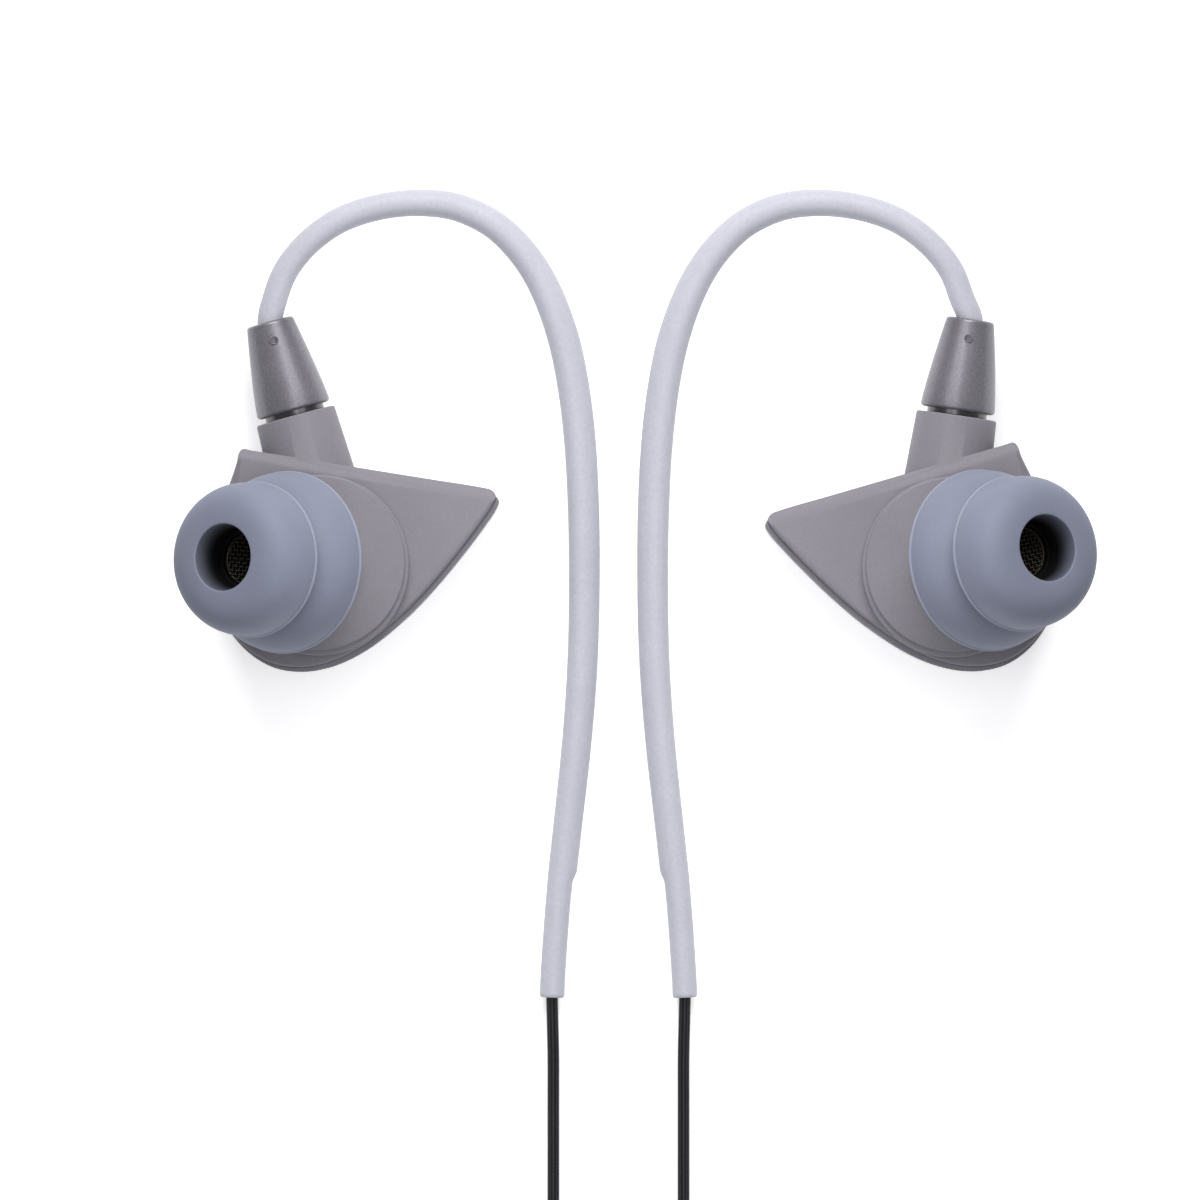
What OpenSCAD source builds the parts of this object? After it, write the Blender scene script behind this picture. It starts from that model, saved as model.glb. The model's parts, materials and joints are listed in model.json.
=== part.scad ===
// A pair of over-ear in-ear monitors on a detachable cable, laid flat on a table.
// +Z is up, and the faceplates and the ends of the ear guides rest on z = 0.
// Each earpiece has its own frame: the origin lies under the joint between plug and
// socket, +Y runs along the plug towards its boot, and the earpiece hangs down -Y.

/* [Earpiece] */
// Overall thickness of the shell without its raised driver housing
shell_t = 7.5; // [7:0.1:9]
// Height of the line where the outer and inner shells meet
split_z = 3; // [2.5:0.1:3.4]
// Wall thickness of both shells
wall = 0.9; // [0.7:0.05:1.1]
// Radius of the raised round driver housing
housing_r = 6.75; // [6.2:0.05:7]
// Height of the raised driver housing above the shell
housing_h = 1.2; // [1:0.1:2]
// How far the nozzle leans away from straight up, in degrees
nozzle_tilt = 33; // [25:1:36]

/* [Ear tip] */
// Radius of the large flange at its rim
large_flange_r = 6.8; // [5.8:0.1:7]
// Radius of the small flange at its rim
small_flange_r = 5.8; // [4.8:0.1:6]
// Radius of the sound opening at the mouth
mouth_r = 2.47; // [2.3:0.01:2.6]

/* [Plug and socket] */
// Height of the plug's axis above the table
axis_z = 4; // [3.9:0.1:4.4]
// Radius of the plug's metal barrel
plug_r = 1.5; // [1.4:0.01:1.52]
// Length of the plug's barrel inside the socket
plug_l = 3.2; // [2.8:0.1:3.3]
// Radius of the socket's bore
socket_r = 1.55; // [1.53:0.01:1.6]
// Gap between the boot and the neck of the shell
boot_gap = 0.4; // [0.3:0.05:0.6]
// Length of the boot
boot_l = 6.9; // [6.5:0.1:8]

/* [Ear guide] */
// Radius of the guide where it leaves the boot
guide_r = 0.93; // [0.9:0.01:0.97]
// How much thicker the guide's radius is in the middle of the hook
guide_swell = 0.19; // [0.1:0.01:0.25]
// Radius of the hole that holds the lead and the memory wire
lumen_r = 0.76; // [0.75:0.01:0.78]
// Radius of the memory wire
wire_r = 0.25; // [0.15:0.01:0.25]

/* [Cable] */
// Radius of each thin lead between the guides and the splitter
lead_r = 0.45; // [0.35:0.01:0.45]
// Radius of the main cable below the splitter
main_r = 1; // [0.8:0.05:1]
// Radius of the jack's contacts
jack_r = 1.75; // [1.7:0.05:1.75]

/* [Pose on the table] */
// Lean of the left boot, in degrees
left_lean = 15.4; // [12:0.1:18]
// Lean of the right boot, in degrees
right_lean = 8.3; // [6:0.1:12]

/* [Hidden] */

// Colours
shell_grey = [0.56, 0.55, 0.58];
tip_blue = [0.53, 0.55, 0.64];
boot_grey = [0.60, 0.59, 0.62];
guide_pearl = [0.78, 0.78, 0.82];
lead_black = [0.12, 0.12, 0.13];
dark_metal = [0.30, 0.29, 0.30];
gold = [0.83, 0.69, 0.36];
steel = [0.75, 0.75, 0.77];
white_plastic = [0.92, 0.91, 0.88];
copper = [0.72, 0.42, 0.25];

// Places of the two plug joints in the layout, which is mirrored about x = 0
left_joint = [-24.23, 13.82];
right_joint = [25.35, 13.82];
// Brings the middle of the two earpieces and guides to the origin
layout_shift = [-1.22, -0.46, 0];

// Outline of the inner shell, anticlockwise from the tip: a straight top edge, a rounded
// corner, a round belly and a long, slightly bowed lower edge
shell_points = [
    [12.75, -9.35], [11.9, -8.85], [9, -7.53], [4, -5.25], [-1, -2.97], [-3.5, -1.83],
    [-4.2, -1.5], [-4.7, -1.7], [-5.1, -2.35], [-6.4, -4.2], [-8.3, -7.1], [-9.25, -10.3],
    [-9.2, -13.3], [-8.2, -15.7], [-6.6, -17.4], [-4.7, -18.25], [-2.8, -18.5],
    [-0.9, -18.3], [1.2, -17.7], [4.4, -16.2], [7, -14.6], [9.4, -12.9], [11.4, -11.35],
    [12.5, -10.4], [12.9, -9.85]
];
// The outer shell is the same outline a little lower, so it shows as a lip below
lip_shift = [0.1, -0.4];
shell_middle = [0.3, -10.6];
shell_reach = 8;
shell_edge = 0.8;
lip_edge = 0.45;
cover_clear = 0.02;

housing_at = [-1.2, -11.3];
housing_edge = 0.45;
pocket_r = 5.1;
pocket_top = shell_t + 0.4;
nozzle_heading = 160;
nozzle_at = [housing_at[0], housing_at[1], shell_t + housing_h];
nozzle_r = 2.25;
nozzle_bore_r = 1.8;
nozzle_end = 9.7;
barb_r = 2.45;
barb_l = 1.2;
barb_back = 0.2;
mesh_r = 1.95;
mesh_t = 0.12;
mesh_seat = 9.3;
nozzle_root = 2;
collar_r = 3.2;
collar_l = 1.2;
collar_root = 1;

// Ear tip, measured along the nozzle from the top of the driver housing
tip_bore_r = barb_r + 0.03;
tip_core_r = 3.1;
tip_start = 2.35;
large_rim = 4.35;
small_rim = 8.7;
tip_mouth = 12.6;
tip_edge = 0.7;
tip_lip = 0.35;
tip_grip = 0.05;
mouth_flare = 0.5;
large_top = small_rim - 0.4;
small_top = tip_mouth - 0.1;
flange_root_r = tip_core_r - 0.3;
skin = 0.45;

// Locating pins between the two shells, with their radius
pin_spots = [[9, -10.5, 0.6], [5, -13.4, 0.6], [-7.6, -12.4, 0.45]];
pin_top = 5;
pin_room = 0.1;
boss_wall = 0.45;
boss_gap = 0.2;

driver_r = 5;
driver_z = 4.4;
yoke_r = 3;
yoke_wall = 0.35;
yoke_h = 2.2;
plate_t = 0.5;
magnet_r = 2;
magnet_h = 1.6;
coil_r = 2.4;
coil_wall = 0.2;
coil_h = 1.4;
film_t = 0.08;
film_z = 7;
film_dome = 0.5;
film_roll = 0.4;
frame_z = driver_z + 1.2;
frame_floor = 0.6;
frame_wall = 0.4;
vent_r = 0.45;
driver_wire_r = 0.12;

neck_r = 3.02;
neck_root_r = 3.25;
neck_l = 5.2;
neck_round = 0.15;
socket_out_r = 2.35;
socket_l = 5;
socket_depth = 3.5;
socket_inset = 0.15;
contact_r = 0.7;
contact_l = 3.6;
contact_floor = 1;
contact_bore_r = 0.38;
plug_pin_r = 0.35;
plug_pin_l = 2.6;
plug_insulator_l = 1.2;
plug_bore_r = 1;
groove_r = 1.28;
groove_at = 2;
groove_clear = 0.05;
ring_w = 0.4;
ring_slot = 0.5;
ring_in_r = 1.3;
ring_out_r = 1.52;
collar_gap = 0.06;
barrel_collar_r = 2.25;
barrel_back_r = 1.9;
barrel_back = 2.6;
boot_r = 2.8;
boot_top_r = 1.82;
boot_edge = 0.3;
boot_bulge = 0.25;
guide_seat = 3.2;
guide_clear = 0.04;
dot_r = 0.29;
dot_at = 5.84;
dot_floor = boot_top_r + 0.15;

// Middle of the left guide beyond the boot: up, over the ear and down behind it
hook_points = [
    [-25.75, 22.65, 4], [-25, 24.6, 4], [-23.8, 26.25, 4], [-22.1, 27.75, 4],
    [-20.3, 28.76, 3.95], [-17.6, 29.55, 3.9], [-14.9, 29.78, 3.8], [-12.2, 29.45, 3.7],
    [-9.5, 28.2, 3.6], [-7.6, 26.45, 3.5], [-6.15, 24.4, 3.4], [-5, 21.9, 3.3],
    [-4.1, 19, 3.1], [-3.45, 15.6, 2.9], [-3, 11.6, 2.7], [-2.75, 6.5, 2.4],
    [-2.7, 1, 2], [-2.85, -5, 1.7], [-3.3, -11, 1.4], [-3.9, -16.5, 1.2],
    [-4.2, -19.2, 1.15], [-4.42, -21.3, 1.1], [-4.75, -25.4, 1.02], [-4.95, -28.6, 1],
    [-5, -29.9, 1]
];
guide_start = [5.2, 7.2];
guide_end_r = 0.98;
guide_end_rings = 8;
guide_sides = 14;
wire_end = 20;
wire_inset = 0.4;
lead_aside = 0.26;
lead_merge = 5;
wire_aside = 0.46;
steps = 2;

// Routes of the free leads, drawn for the left and mirrored for the right
lead_out = [
    [-5, -29.9, 1], [-4.95, -32, 0.95], [-4.9, -34.5, 0.75], [-4.9, -37, 0.6],
    [-4.9, -39.5, 0.55], [-4.9, -42, 0.55], [-4.9, -44.5, 0.6], [-4.9, -47, 0.7],
    [-4.9, -49.5, 0.85]
];
lead_back = [
    [-4.8, -57.6, 3.1], [-4.3, -60.2, 2.2], [-3.3, -62.7, 1.6], [-2, -65, 1.4],
    [-1.05, -67, 1.4], [-0.8, -69, 1.4], [-0.8, -72, 1.4], [-0.8, -75, 1.4], [-0.8, -78, 1.4]
];
main_out = [[0, -90, 1.4], [0, -94, 1.4], [0, -98, 1.4]];
main_back = [
    [0.3, -107, 6.9], [1.5, -110.6, 5.6], [4.2, -113.4, 4.3], [8, -114.4, 3.6], [11, -114.5, 3.5]
];
coil_lift = 0.4;
lead_coil_at = [-10.35, -54];
lead_coil_r = 5;
lead_columns = 2;
layers = 4;
main_coil_at = [-12.5, -104];
main_coil_r = 10.5;
main_columns = 3;
tie_w = 2.5;
tie_t = 0.35;
tie_clear = 0.02;

clip_z = 1.4;
slider_y = -77.5;
slider_l = 5;
slider_w = 4.4;
slider_h = 2.6;
slider_bore_r = lead_r + 0.07;
lead_gap = 0.8;
splitter_y = -90;
splitter_l = 12;
splitter_w = 5;
splitter_h = 2.8;

jack_at = [11, -114.5, 3.5];
jack_boot_l = 10;
jack_boot_r = 2.5;
jack_boot_end_r = 1.6;
jack_housing_r = 3.5;
jack_housing_l = 17;
jack_chamfer_r = 0.5;
jack_chamfer_l = 0.6;
jack_flange_r = 2.7;
jack_flange_l = 0.8;
sleeve_l = 5;
band_l = 0.7;
ring_l = 2.4;
tip_l = 5.2;
// Half outline of the jack's tip: a shoulder, a waist, a belly and a point
tip_outline = [
    [0, 0], [1.55, 0], [1.55, 0.7], [1.15, 1.5], [1.7, 2.3], [1.65, 2.9],
    [0.6, tip_l - 0.3], [0.25, tip_l], [0, tip_l]
];
jack_core_r = 0.7;

// Centripetal spline through p1 and p2, at a fraction f between them
function knot(a, b) = max(pow(norm(b - a), 0.5), 0.001);
function mix(a, b, ta, tb, t) = ((tb - t) * a + (t - ta) * b) / (tb - ta);
function blend_at(p0, p1, p2, p3, t1, t2, t3, t) =
    let (
        a = mix(p0, p1, 0, t1, t), b = mix(p1, p2, t1, t2, t), c = mix(p2, p3, t2, t3, t),
        d = mix(a, b, 0, t2, t), e = mix(b, c, t1, t3, t)
    ) mix(d, e, t1, t2, t);
function spline(p0, p1, p2, p3, f) =
    let (t1 = knot(p0, p1), t2 = t1 + knot(p1, p2), t3 = t2 + knot(p2, p3))
    blend_at(p0, p1, p2, p3, t1, t2, t3, t1 + f * (t2 - t1));
function loop(p, n) =
    let (m = len(p))
    [for (i = [0 : m - 1], k = [0 : n - 1])
        spline(p[(i + m - 1) % m], p[i], p[(i + 1) % m], p[(i + 2) % m], k / n)];
function past(p, i) =
    i < 0 ? 2 * p[0] - p[1] : i >= len(p) ? 2 * p[len(p) - 1] - p[len(p) - 2] : p[i];
function route(p, n) = concat(
    [for (i = [0 : len(p) - 2], k = [0 : n - 1])
        spline(past(p, i - 1), p[i], p[i + 1], past(p, i + 2), k / n)],
    [p[len(p) - 1]]);

// Sweep of a round section along a route that stays close to level
function unit(v) = v / norm(v);
function heading(p, i) = unit(p[min(i + 1, len(p) - 1)] - p[max(i - 1, 0)]);
function across(p, i) = unit(cross(heading(p, i), [0, 0, 1]));
function ring(p, i, r, sides) =
    let (t = heading(p, i), u = across(p, i), w = cross(u, t))
    [for (k = [0 : sides - 1])
        p[i] + r * (cos((k + 0.5) * 360 / sides) * u + sin((k + 0.5) * 360 / sides) * w)];
function beside(p, amounts) =
    [for (i = [0 : len(p) - 1]) p[i] + amounts[i] * across(p, i)];
function mirrored(p, side) = [for (q = p) [-side * q[0], q[1], q[2]]];
function placed(p) = [for (q = p) q + layout_shift];
function tube_quads(rings, sides, from, flip) =
    [for (i = [0 : rings - 2], k = [0 : sides - 1])
        let (a = from + i * sides + k, b = from + i * sides + (k + 1) % sides)
        flip ? [a, a + sides, b + sides, b] : [a, b, b + sides, a + sides]];

module cord(p, r, sides = 8) {
    n = len(p);
    polyhedron(
        points = [for (i = [0 : n - 1]) each ring(p, i, r, sides)],
        faces = concat(
            [[for (k = [0 : sides - 1]) sides - 1 - k]],
            tube_quads(n, sides, 0, false),
            [[for (k = [0 : sides - 1]) (n - 1) * sides + k]]),
        convexity = 6);
}

module hose(p, radii, inner, sides) {
    n = len(p);
    polyhedron(
        points = concat(
            [for (i = [0 : n - 1]) each ring(p, i, radii[i], sides)],
            [for (i = [0 : n - 1]) each ring(p, i, inner, sides)]),
        faces = concat(
            tube_quads(n, sides, 0, false),
            tube_quads(n, sides, n * sides, true),
            [for (k = [0 : sides - 1])
                let (m = (k + 1) % sides)
                [m, k, n * sides + k, n * sides + m]],
            [for (k = [0 : sides - 1])
                let (m = (k + 1) % sides, a = (n - 1) * sides, b = (2 * n - 1) * sides)
                [a + k, a + m, b + m, b + k]]),
        convexity = 6);
}

// The shell's outline, shrunk by about an amount in mm, and a stepped solid of such outlines
shell_loop = loop(shell_points, 2);
function shrunk(p, by) =
    [for (q = p) shell_middle + (q - shell_middle) * (1 - by / shell_reach)];

// Each layer is [bottom, top, how much it is shrunk]
module layers_of(levels) {
    for (l = levels)
        translate([0, 0, l[0]])
            linear_extrude(height = l[1] - l[0]) polygon(shrunk(shell_loop, l[2]));
}

// Frames: an earpiece on the table, the plug's axis, the driver's axis, the nozzle's axis
module ear(side) {
    joint = side < 0 ? left_joint : right_joint;
    translate(layout_shift + [joint[0], joint[1], 0])
        rotate([0, 0, side < 0 ? left_lean : -right_lean])
            mirror([side < 0 ? 0 : 1, 0, 0])
                children();
}

module on_plug() {
    translate([0, 0, axis_z]) rotate([-90, 0, 0]) children();
}

module on_driver() {
    translate([housing_at[0], housing_at[1], 0]) children();
}

module on_nozzle() {
    translate(nozzle_at) rotate([0, nozzle_tilt, nozzle_heading]) children();
}

module pipe(out_r, in_r, h) {
    difference() {
        cylinder(h = h, r = out_r, $fn = 48);
        translate([0, 0, -1]) cylinder(h = h + 2, r = in_r, $fn = 48);
    }
}

// Earpiece
module neck_solid(extra = 0) {
    on_plug() translate([0, 0, -neck_l]) {
        cylinder(h = neck_l - neck_round, r1 = neck_root_r + extra, r2 = neck_r + extra,
            $fn = 64);
        translate([0, 0, neck_l - neck_round])
            cylinder(h = neck_round, r1 = neck_r + extra, r2 = neck_r - neck_round + extra,
                $fn = 64);
    }
}

module outer_shell(side) {
    color(shell_grey) ear(side) {
        difference() {
            translate([lip_shift[0], lip_shift[1], 0])
                layers_of([[0, lip_edge, lip_edge / 2], [lip_edge, split_z, 0]]);
            translate([lip_shift[0], lip_shift[1], wall])
                linear_extrude(height = split_z)
                    polygon(shrunk(shell_loop, wall));
            neck_solid(cover_clear);
        }
        for (p = pin_spots)
            translate([p[0], p[1], wall / 2])
                cylinder(h = pin_top - wall / 2, r = p[2], $fn = 24);
    }
}

module inner_shell(side) {
    color(shell_grey) ear(side) difference() {
        union() {
            difference() {
                layers_of([
                    [split_z, shell_t - shell_edge, 0],
                    [shell_t - shell_edge, shell_t - shell_edge / 2, shell_edge / 3],
                    [shell_t - shell_edge / 2, shell_t, shell_edge]
                ]);
                translate([0, 0, split_z - 1])
                    linear_extrude(height = shell_t - wall - split_z + 1)
                        polygon(shrunk(shell_loop, wall));
            }
            on_driver() translate([0, 0, shell_t - wall]) {
                cylinder(h = wall + housing_h - housing_edge, r = housing_r, $fn = 96);
                translate([0, 0, wall + housing_h - housing_edge])
                    cylinder(h = housing_edge, r1 = housing_r, r2 = housing_r - housing_edge,
                        $fn = 96);
            }
            neck_solid();
            on_nozzle() translate([0, 0, -collar_root])
                cylinder(h = collar_l + collar_root, r = collar_r, $fn = 48);
            for (p = pin_spots)
                translate([p[0], p[1], split_z + boss_gap])
                    cylinder(h = shell_t - wall - split_z, r = p[2] + boss_wall, $fn = 24);
        }
        on_driver() translate([0, 0, split_z])
            cylinder(h = pocket_top - split_z, r = pocket_r, $fn = 64);
        on_nozzle() translate([0, 0, -nozzle_root - 1])
            cylinder(h = nozzle_root + 1 + nozzle_end, r = nozzle_r, $fn = 48);
        on_plug() translate([0, 0, -neck_l - 1])
            cylinder(h = neck_l + 2, r = socket_out_r, $fn = 48);
        for (p = pin_spots)
            translate([p[0], p[1], split_z - 1])
                cylinder(h = pin_top + pin_room - split_z + 1, r = p[2] + cover_clear, $fn = 24);
    }
}

module nozzle(side) {
    color(steel) ear(side) difference() {
        on_nozzle() difference() {
            union() {
                translate([0, 0, -nozzle_root])
                    cylinder(h = nozzle_root + nozzle_end, r = nozzle_r, $fn = 48);
                translate([0, 0, nozzle_end - barb_l - barb_back]) {
                    cylinder(h = barb_l / 2, r1 = nozzle_r, r2 = barb_r, $fn = 48);
                    translate([0, 0, barb_l / 2])
                        cylinder(h = barb_l / 2, r1 = barb_r, r2 = nozzle_r, $fn = 48);
                }
            }
            translate([0, 0, -nozzle_root - 1])
                cylinder(h = nozzle_root + nozzle_end + 2, r = nozzle_bore_r, $fn = 48);
            translate([0, 0, mesh_seat]) cylinder(h = 1, r = mesh_r, $fn = 48);
        }
        on_driver() cylinder(h = pocket_top, r = 2 * driver_r, $fn = 48);
    }
}

module nozzle_mesh(side) {
    color(dark_metal) ear(side) on_nozzle()
        translate([0, 0, mesh_seat]) cylinder(h = mesh_t, r = mesh_r, $fn = 48);
}

// A flange of the ear tip: an elliptical skin from the core out to its rim
function flange(r, rim, top, thick) = concat(
    [for (a = [90 : -10 : 0])
        [flange_root_r + (r - flange_root_r) * cos(a), rim + (top - rim) * sin(a)]],
    [for (a = [0 : 15 : 90])
        [flange_root_r + (r - thick - flange_root_r) * cos(a),
            rim + (top - rim - 1.4 * thick) * sin(a)]]);

module ear_tip(side) {
    color(tip_blue) ear(side) on_nozzle() difference() {
        union() {
            translate([0, 0, tip_start])
                cylinder(h = tip_mouth - tip_start - tip_edge, r = tip_core_r, $fn = 72);
            translate([0, 0, tip_mouth - tip_edge])
                cylinder(h = tip_edge, r1 = tip_core_r, r2 = mouth_r + tip_lip, $fn = 72);
            rotate_extrude($fn = 72)
                polygon(flange(large_flange_r, large_rim, large_top, skin));
            rotate_extrude($fn = 72)
                polygon(flange(small_flange_r, small_rim, small_top, skin));
        }
        translate([0, 0, tip_start - 1])
            cylinder(h = nozzle_end - tip_start + 1 + tip_grip, r = tip_bore_r, $fn = 48);
        cylinder(h = tip_mouth + 1, r = nozzle_r - tip_grip, $fn = 48);
        translate([0, 0, tip_mouth - mouth_flare])
            cylinder(h = mouth_flare + 0.02, r1 = nozzle_r - tip_grip, r2 = mouth_r, $fn = 48);
    }
}

// Driver: a moving-coil unit with its film facing the nozzle
module driver_frame(side) {
    color(dark_metal) ear(side) on_driver() difference() {
        translate([0, 0, frame_z]) union() {
            pipe(driver_r, yoke_r, frame_floor);
            pipe(driver_r, driver_r - frame_wall, film_z - frame_z);
        }
        for (a = [0 : 60 : 300])
            rotate([0, 0, a]) translate([(driver_r - frame_wall / 2 + yoke_r) / 2, 0, driver_z])
                cylinder(h = film_z - driver_z, r = vent_r, $fn = 24);
    }
}

module diaphragm(side) {
    roll = (driver_r - coil_r) / 2;
    color("gainsboro") ear(side) on_driver() translate([0, 0, film_z])
        rotate_extrude($fn = 48) polygon(concat(
            [for (a = [90 : -15 : 0]) [coil_r * cos(a), film_dome * sin(a) + film_t]],
            [for (a = [165 : -15 : 15]) [coil_r + roll + roll * cos(a), film_roll * sin(a) + film_t]],
            [[driver_r, film_t], [driver_r, 0]],
            [for (a = [15 : 15 : 165]) [coil_r + roll + roll * cos(a), film_roll * sin(a)]],
            [for (a = [0 : 15 : 90]) [coil_r * cos(a), film_dome * sin(a)]]));
}

module voice_coil(side) {
    color(copper) ear(side) on_driver() translate([0, 0, film_z - coil_h])
        pipe(coil_r, coil_r - coil_wall, coil_h);
}

module magnet(side) {
    color(steel) ear(side) on_driver() translate([0, 0, driver_z + plate_t])
        cylinder(h = magnet_h, r = magnet_r, $fn = 48);
}

module yoke(side) {
    color(dark_metal) ear(side) on_driver() translate([0, 0, driver_z]) {
        cylinder(h = plate_t, r = yoke_r, $fn = 48);
        translate([0, 0, plate_t]) pipe(yoke_r, yoke_r - yoke_wall, yoke_h - plate_t);
    }
}

module driver_wires(side) {
    color(copper) ear(side)
        for (k = [-1, 1])
            cord([
                [0.9 * k, -socket_l, axis_z], [0.9 * k, -5.6, axis_z - 0.2],
                [0.8 * k - 0.3, -6.6, axis_z - 0.5], [0.7 * k - 0.8, -8, axis_z - 0.5],
                [0.6 * k - 1.1, -9.4, axis_z - 0.2], [0.5 * k - 1.2, -10.4, axis_z + 0.25]
            ], driver_wire_r, 6);
}

// Socket in the neck
module socket_body(side) {
    color(gold) ear(side) on_plug() translate([0, 0, -socket_l]) difference() {
        cylinder(h = socket_l - socket_inset, r = socket_out_r, $fn = 48);
        translate([0, 0, -1]) cylinder(h = socket_l + 1, r = socket_r, $fn = 48);
    }
}

module socket_insulator(side) {
    color(white_plastic) ear(side) on_plug() translate([0, 0, -socket_l])
        pipe(socket_r, contact_r, socket_l - socket_depth);
}

module socket_contact(side) {
    color(gold) ear(side) on_plug() translate([0, 0, -socket_l]) difference() {
        cylinder(h = contact_l, r = contact_r, $fn = 32);
        translate([0, 0, contact_floor]) cylinder(h = socket_l, r = contact_bore_r, $fn = 32);
    }
}

// Plug on the cable
module snap_ring(side) {
    color(steel) ear(side) on_plug() translate([0, 0, -groove_at]) difference() {
        pipe(ring_out_r, ring_in_r, ring_w);
        translate([0, -ring_slot / 2, -1]) cube([2 * ring_out_r, ring_slot, ring_w + 2]);
    }
}

module plug_barrel(side) {
    color(dark_metal) ear(side) on_plug() difference() {
        union() {
            translate([0, 0, -plug_l]) cylinder(h = plug_l + 1, r = plug_r, $fn = 48);
            translate([0, 0, collar_gap])
                cylinder(h = boot_gap - collar_gap, r = barrel_collar_r, $fn = 48);
            translate([0, 0, boot_gap])
                cylinder(h = barrel_back - boot_gap, r = barrel_back_r, $fn = 48);
        }
        translate([0, 0, -plug_l - 1])
            cylinder(h = plug_l + barrel_back + 2, r = plug_bore_r, $fn = 48);
        translate([0, 0, -groove_at - groove_clear])
            pipe(plug_r + 1, groove_r, ring_w + 2 * groove_clear);
    }
}

module plug_insulator(side) {
    color(white_plastic) ear(side) on_plug() translate([0, 0, -plug_insulator_l])
        pipe(plug_bore_r, plug_pin_r, barrel_back + plug_insulator_l);
}

module plug_pin(side) {
    color(gold) ear(side) on_plug() translate([0, 0, -plug_pin_l])
        cylinder(h = barrel_back + plug_pin_l, r = plug_pin_r, $fn = 32);
}

module boot(side) {
    edge = boot_edge;
    color(boot_grey) ear(side) difference() {
        on_plug() translate([0, 0, boot_gap]) difference() {
            rotate_extrude($fn = 72) polygon(concat(
                [[0, 0], [boot_r - edge, 0]],
                [for (a = [-60 : 30 : 0])
                    [boot_r - edge + edge * cos(a), edge + edge * sin(a)]],
                [for (f = [0.2 : 0.2 : 0.8])
                    [boot_r + (boot_top_r - boot_r) * f + boot_bulge * sin(180 * f),
                        edge + (boot_l - 2 * edge) * f]],
                [for (a = [10 : 40 : 90])
                    [boot_top_r - edge + edge * cos(a), boot_l - edge + edge * sin(a)]],
                [[0, boot_l]]));
            translate([0, 0, -1])
                cylinder(h = 1 + barrel_back - boot_gap, r = barrel_back_r, $fn = 48);
            cylinder(h = boot_l + 1, r = guide_r + guide_clear, $fn = 48);
        }
        translate([0, dot_at, axis_z + dot_floor])
            cylinder(h = 2, r = dot_r, $fn = 24);
    }
}

// Ear guide with the lead and the memory wire side by side in it
function lean_of(side) = side < 0 ? left_lean : right_lean;
function joint_of(side) = side < 0 ? left_joint : right_joint;
function on_axis(side, along) =
    [-abs(joint_of(side)[0]) - along * sin(lean_of(side)),
        joint_of(side)[1] + along * cos(lean_of(side)), axis_z];
function guide_route(side, start) = placed(mirrored(route(concat(
    [on_axis(side, start), on_axis(side, guide_start[0]), on_axis(side, guide_start[1])],
    hook_points), steps), side));
function guide_radii(n) =
    [for (i = [0 : n - 1])
        i > n - guide_end_rings ? guide_end_r : guide_r + guide_swell * sin(180 * i / n)];
function part_of(p, last) = [for (i = [0 : last]) p[i]];
last_wire = (wire_end + 3) * steps;

module ear_guide(side) {
    p = guide_route(side, guide_seat);
    color(guide_pearl) hose(p, guide_radii(len(p)), lumen_r, guide_sides);
}

module memory_wire(side) {
    p = guide_route(side, guide_seat + wire_inset);
    q = beside(p, [for (i = p) side * -wire_aside]);
    color(steel) cord(part_of(q, last_wire), wire_r, 6);
}

module inner_lead(side) {
    p = guide_route(side, barrel_back);
    n = len(p);
    amounts = [for (i = [0 : n - 1])
        side * lead_aside * (i < last_wire ? 1 : max(0, 1 - (i - last_wire) / lead_merge))];
    color(lead_black) cord(beside(p, amounts), lead_r, 8);
}

// Free leads, main cable and their coils
module free_lead(side) {
    color(lead_black) {
        cord(placed(mirrored(route(lead_out, 1), side)), lead_r);
        cord(placed(mirrored(route(lead_back, 1), side)), lead_r);
    }
}

module coil_ring(at, mid_r, columns, cord_r) {
    half = columns * cord_r;
    translate(layout_shift + [at[0], at[1], coil_lift])
        rotate_extrude($fn = 72) translate([mid_r - half, 0])
            square([2 * half, layers * 2 * cord_r]);
}

module lead_coil(side) {
    color(lead_black)
        coil_ring([-side * lead_coil_at[0], lead_coil_at[1]], lead_coil_r, lead_columns, lead_r);
}

module main_cable() {
    color(lead_black) {
        cord(placed(route(main_out, 1)), main_r);
        cord(placed(route(main_back, 2)), main_r);
    }
}

module main_coil() {
    color(lead_black) coil_ring(main_coil_at, main_coil_r, main_columns, main_r);
}

// A flat strap round one side of a coil: side is -1 for its left, 1 for its right
module tie(at, mid_r, columns, cord_r, side) {
    half = columns * cord_r;
    high = layers * 2 * cord_r;
    translate(layout_shift + [at[0] + side * mid_r, at[1] - tie_w / 2, coil_lift]) difference() {
        translate([-half - tie_t, 0, -tie_t]) cube([2 * (half + tie_t), tie_w, high + 2 * tie_t]);
        translate([-half - tie_clear, -1, -tie_clear])
            cube([2 * (half + tie_clear), tie_w + 2, high + 2 * tie_clear]);
        translate([-side * mid_r, tie_w / 2, -tie_clear / 2]) difference() {
            cylinder(h = high + tie_clear, r = mid_r + half + tie_clear, $fn = 72);
            translate([0, 0, -1])
                cylinder(h = high + 2, r = mid_r - half - tie_clear, $fn = 72);
        }
    }
}

module cable_ties() {
    color("dimgray") {
        for (side = [-1, 1])
            tie([-side * lead_coil_at[0], lead_coil_at[1]], lead_coil_r, lead_columns, lead_r, side);
        tie(main_coil_at, main_coil_r, main_columns, main_r, -1);
    }
}

// Slider and splitter, flat ovals round the leads
module oval(w, h) {
    for (k = [-1, 1]) translate([k * (w - h) / 2, 0]) circle(d = h, $fn = 48);
    square([w - h, h], center = true);
}

module on_cable(y, l) {
    translate(layout_shift + [0, y + l, clip_z]) rotate([90, 0, 0]) children();
}

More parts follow.
